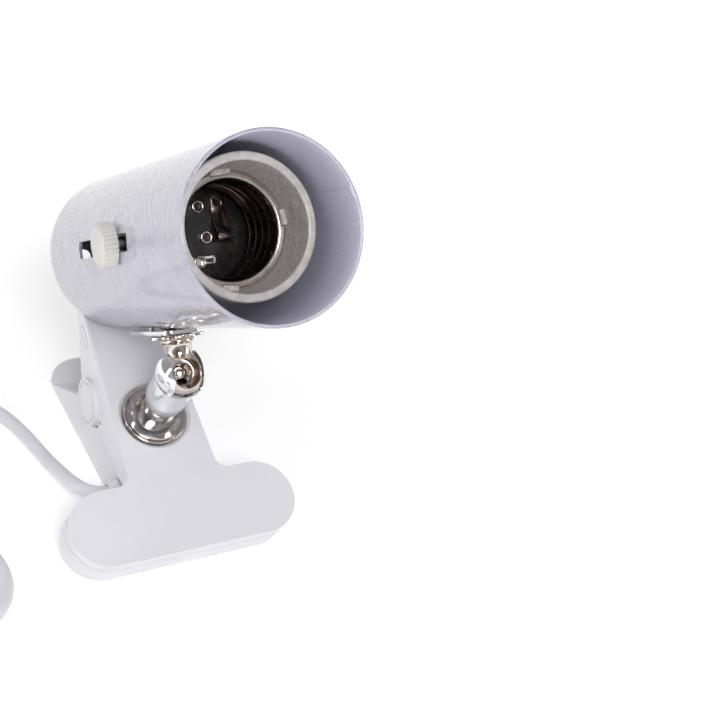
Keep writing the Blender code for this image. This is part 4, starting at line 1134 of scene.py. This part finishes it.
def make_bracket():
    front, thick = HOLDER_BACK + 0.3 * MM, 1.2 * MM
    low, top = 16.2 * MM, HOLDER_Z + SCREW_RISE + 4 * MM
    back = front + thick
    bend = arc((back + 0.9 * MM, low + thick + 0.9 * MM), 0.9 * MM, 270, 180, 6)
    outer_bend = arc((front + 2.1 * MM, low + 2.1 * MM), 2.1 * MM, 180, 270, 8)
    outline = [*outer_bend, (7 * MM, low), (7 * MM, low + thick), *bend, (back, top), (front, top)]
    piece = extruded(outline, -6.5 * MM, 6.5 * MM, "YZ")
    cut(piece, rod(THREAD_R + 0.25 * MM, 5 * MM, 20 * MM))
    for side in (1, -1):
        cut(piece, rod(1.8 * MM, -30 * MM, 0, "Y", (0, 0, HOLDER_Z + side * SCREW_RISE), 32))
    piece = soften(piece, 0.25 * MM, 2)
    return place(piece, "holder_bracket", ZINC, "steel", "head", HEAD, ["socket_bracket"])


def make_switch():
    """A black rotary switch: its case, a raised bush and a shoulder that shows in the slot."""
    low = (-22.0 * MM, -35.8 * MM, KNOB_Z - 6.5 * MM)
    high = (-14.9 * MM, -21.2 * MM, KNOB_Z + 6.5 * MM)
    piece = soften(box(low, high), 0.5 * MM, 3)
    join(piece, rod(4.2 * MM, 20 * MM, 22.35 * MM, "-X", (0, KNOB_Y, KNOB_Z), 48))
    cut(piece, rod(2.2 * MM, 17 * MM, 26 * MM, "-X", (0, KNOB_Y, KNOB_Z), 48))
    return place(piece, "switch_case", BLACK_PLASTIC, "black_plastic", "head", HEAD, ["switch_body"], 35)


def make_knob():
    """Ribbed round its rim, with a plain, slightly domed face."""
    ribs, per_rib = 30, 8
    outline = []
    for i in range(ribs * per_rib):
        swell = 0.5 + 0.5 * math.cos(2 * math.pi * i / per_rib)
        radius = 5.92 * MM + 0.36 * MM * swell**0.6
        outline.append(arc((0, 0), radius, 360 * i / ribs / per_rib, 0, 1)[0])
    piece = extruded(outline, 0.5 * MM, 4.4 * MM, "XY")
    face = [(0, 5.15 * MM), (3.0 * MM, 5.1 * MM), (5.0 * MM, 4.95 * MM), (5.7 * MM, 4.6 * MM)]
    face += [(5.95 * MM, 4.2 * MM), (5.95 * MM, 3.5 * MM), (0, 3.5 * MM)]
    join(piece, turned(face, "Z", steps=96))
    cut(piece, rod(2.15 * MM, 0, 3.5 * MM))
    piece.data.transform(along("-X"))
    return place(piece, "knob", IVORY_PLASTIC, "ivory_plastic", "knob", KNOB, ["switch_knob"], 50)


make_holder()
make_shell()
make_floor_disc()
make_tongue()
eyelet("rivet_upper", -0.5 * MM, 8.0 * MM, ["eyelet_upper"])
eyelet("rivet_middle", 1.0 * MM, -0.8 * MM, ["eyelet_middle"])
eyelet("rivet_lower", -2.0 * MM, -7.6 * MM, (), FLOOR_Y - 1.0 * MM)
make_strap()
make_screw("holder_screw_upper", 1, ["socket_screw_upper"])
make_screw("holder_screw_lower", -1, ["socket_screw_lower"])
make_bracket()
make_switch()
make_knob()

# CAD nodes whose shape is right keep it and take a material
KEPT = {
    "front_jaw_pad": SOFT_RUBBER,
    "rear_jaw_pad": SOFT_RUBBER,
    "pivot_pin": ZINC,
    "clip_lead": WHITE_CABLE,
    "post_nut": ZINC,
    "post_washer": ZINC,
    "post_lead": WHITE_CABLE,
    "plate_rivet": ZINC,
    "nipple_nut": ZINC,
    "lead_live": RED_CABLE,
    "lead_neutral": BLUE_CABLE,
    "switch_shaft": ZINC,
    "plug_pin_live": BRASS,
    "plug_pin_neutral": BRASS,
}
for node_name, look in KEPT.items():
    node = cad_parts[node_name]
    node.data.materials.clear()
    node.data.materials.append(look)


# ---------------------------------------------------------------- floor and light
def make_floor():
    work = bmesh.new()
    bmesh.ops.create_grid(work, x_segments=2, y_segments=2, size=3.0)
    floor = from_bmesh(work)
    floor.name = "floor"
    look = surface("floor", (0.86, 0.86, 0.86), 0.7, Specular_IOR_Level=0.1)
    tree = look.node_tree
    shader = tree.nodes["Principled BSDF"]
    shader.inputs["Emission Color"].default_value = (1, 1, 1, 1)
    # The floor glows, weakly near the middle and more strongly away from it: painted light, brightest towards
    # the edges.
    reach = tree.nodes.new("ShaderNodeVectorMath")
    reach.operation = "LENGTH"
    spread = tree.nodes.new("ShaderNodeMapRange")
    spread.inputs["From Min"].default_value = 0.08
    spread.inputs["From Max"].default_value = 0.50
    spread.inputs["To Min"].default_value = 0.30
    spread.inputs["To Max"].default_value = 0.80
    tree.links.new(coordinates(tree), reach.inputs[0])
    tree.links.new(reach.outputs["Value"], spread.inputs["Value"])
    tree.links.new(spread.outputs["Result"], shader.inputs["Emission Strength"])
    floor.data.materials.append(look)


def make_world():
    """Pale all round, a little darker behind the camera, as in a light tent."""
    behind_camera = (-0.46, -0.60, 0.65)
    greys = ((0.60, 0.55), (0.74, 0.85), (0.84, 0.45), (0.95, 0.25))  # place towards it, and level
    world = bpy.data.worlds.new("light_tent")
    bpy.context.scene.world = world
    world.use_nodes = True
    tree = world.node_tree
    background = tree.nodes["Background"]
    direction = tree.nodes.new("ShaderNodeTexCoord")
    facing = tree.nodes.new("ShaderNodeVectorMath")
    facing.operation = "DOT_PRODUCT"
    facing.inputs[1].default_value = behind_camera
    ramp = tree.nodes.new("ShaderNodeValToRGB")
    stops = ramp.color_ramp.elements
    stops[0].position, stops[0].color = 0.0, (0.60, 0.60, 0.62, 1)
    stops[1].position, stops[1].color = 1.0, (0.22, 0.21, 0.21, 1)
    for position, level in greys:
        stop = stops.new(position)
        stop.color = (level, level, level, 1)
    tree.links.new(direction.outputs["Generated"], facing.inputs[0])
    tree.links.new(facing.outputs["Value"], ramp.inputs["Fac"])
    tree.links.new(ramp.outputs["Color"], background.inputs["Color"])
    background.inputs["Strength"].default_value = 0.6


def area_light(name, place_at, target, size, power, colour=(1, 1, 1)):
    data = bpy.data.lights.new(name, "AREA")
    data.shape = "RECTANGLE"
    data.size, data.size_y = size
    data.energy = power
    data.color = colour
    light = link(name, data)
    light.location = place_at
    light.rotation_euler = (Vector(target) - Vector(place_at)).to_track_quat("-Z", "Y").to_euler()


make_floor()
make_world()
area_light("overhead", (-0.10, 0.30, 0.70), (0, 0, 0.08), (0.6, 0.10), 0.8)
area_light("left", (-0.70, -0.02, 0.16), (0, 0, 0.07), (0.10, 0.6), 1.5)
area_light("right", (0.60, -0.40, 0.30), (0, 0, 0.08), (0.3, 0.4), 0.9)
area_light("front", (-0.20, -0.68, 0.72), (0, 0, 0.09), (0.30, 0.30), 4.8)
bpy.context.scene.view_settings.view_transform = "Standard"
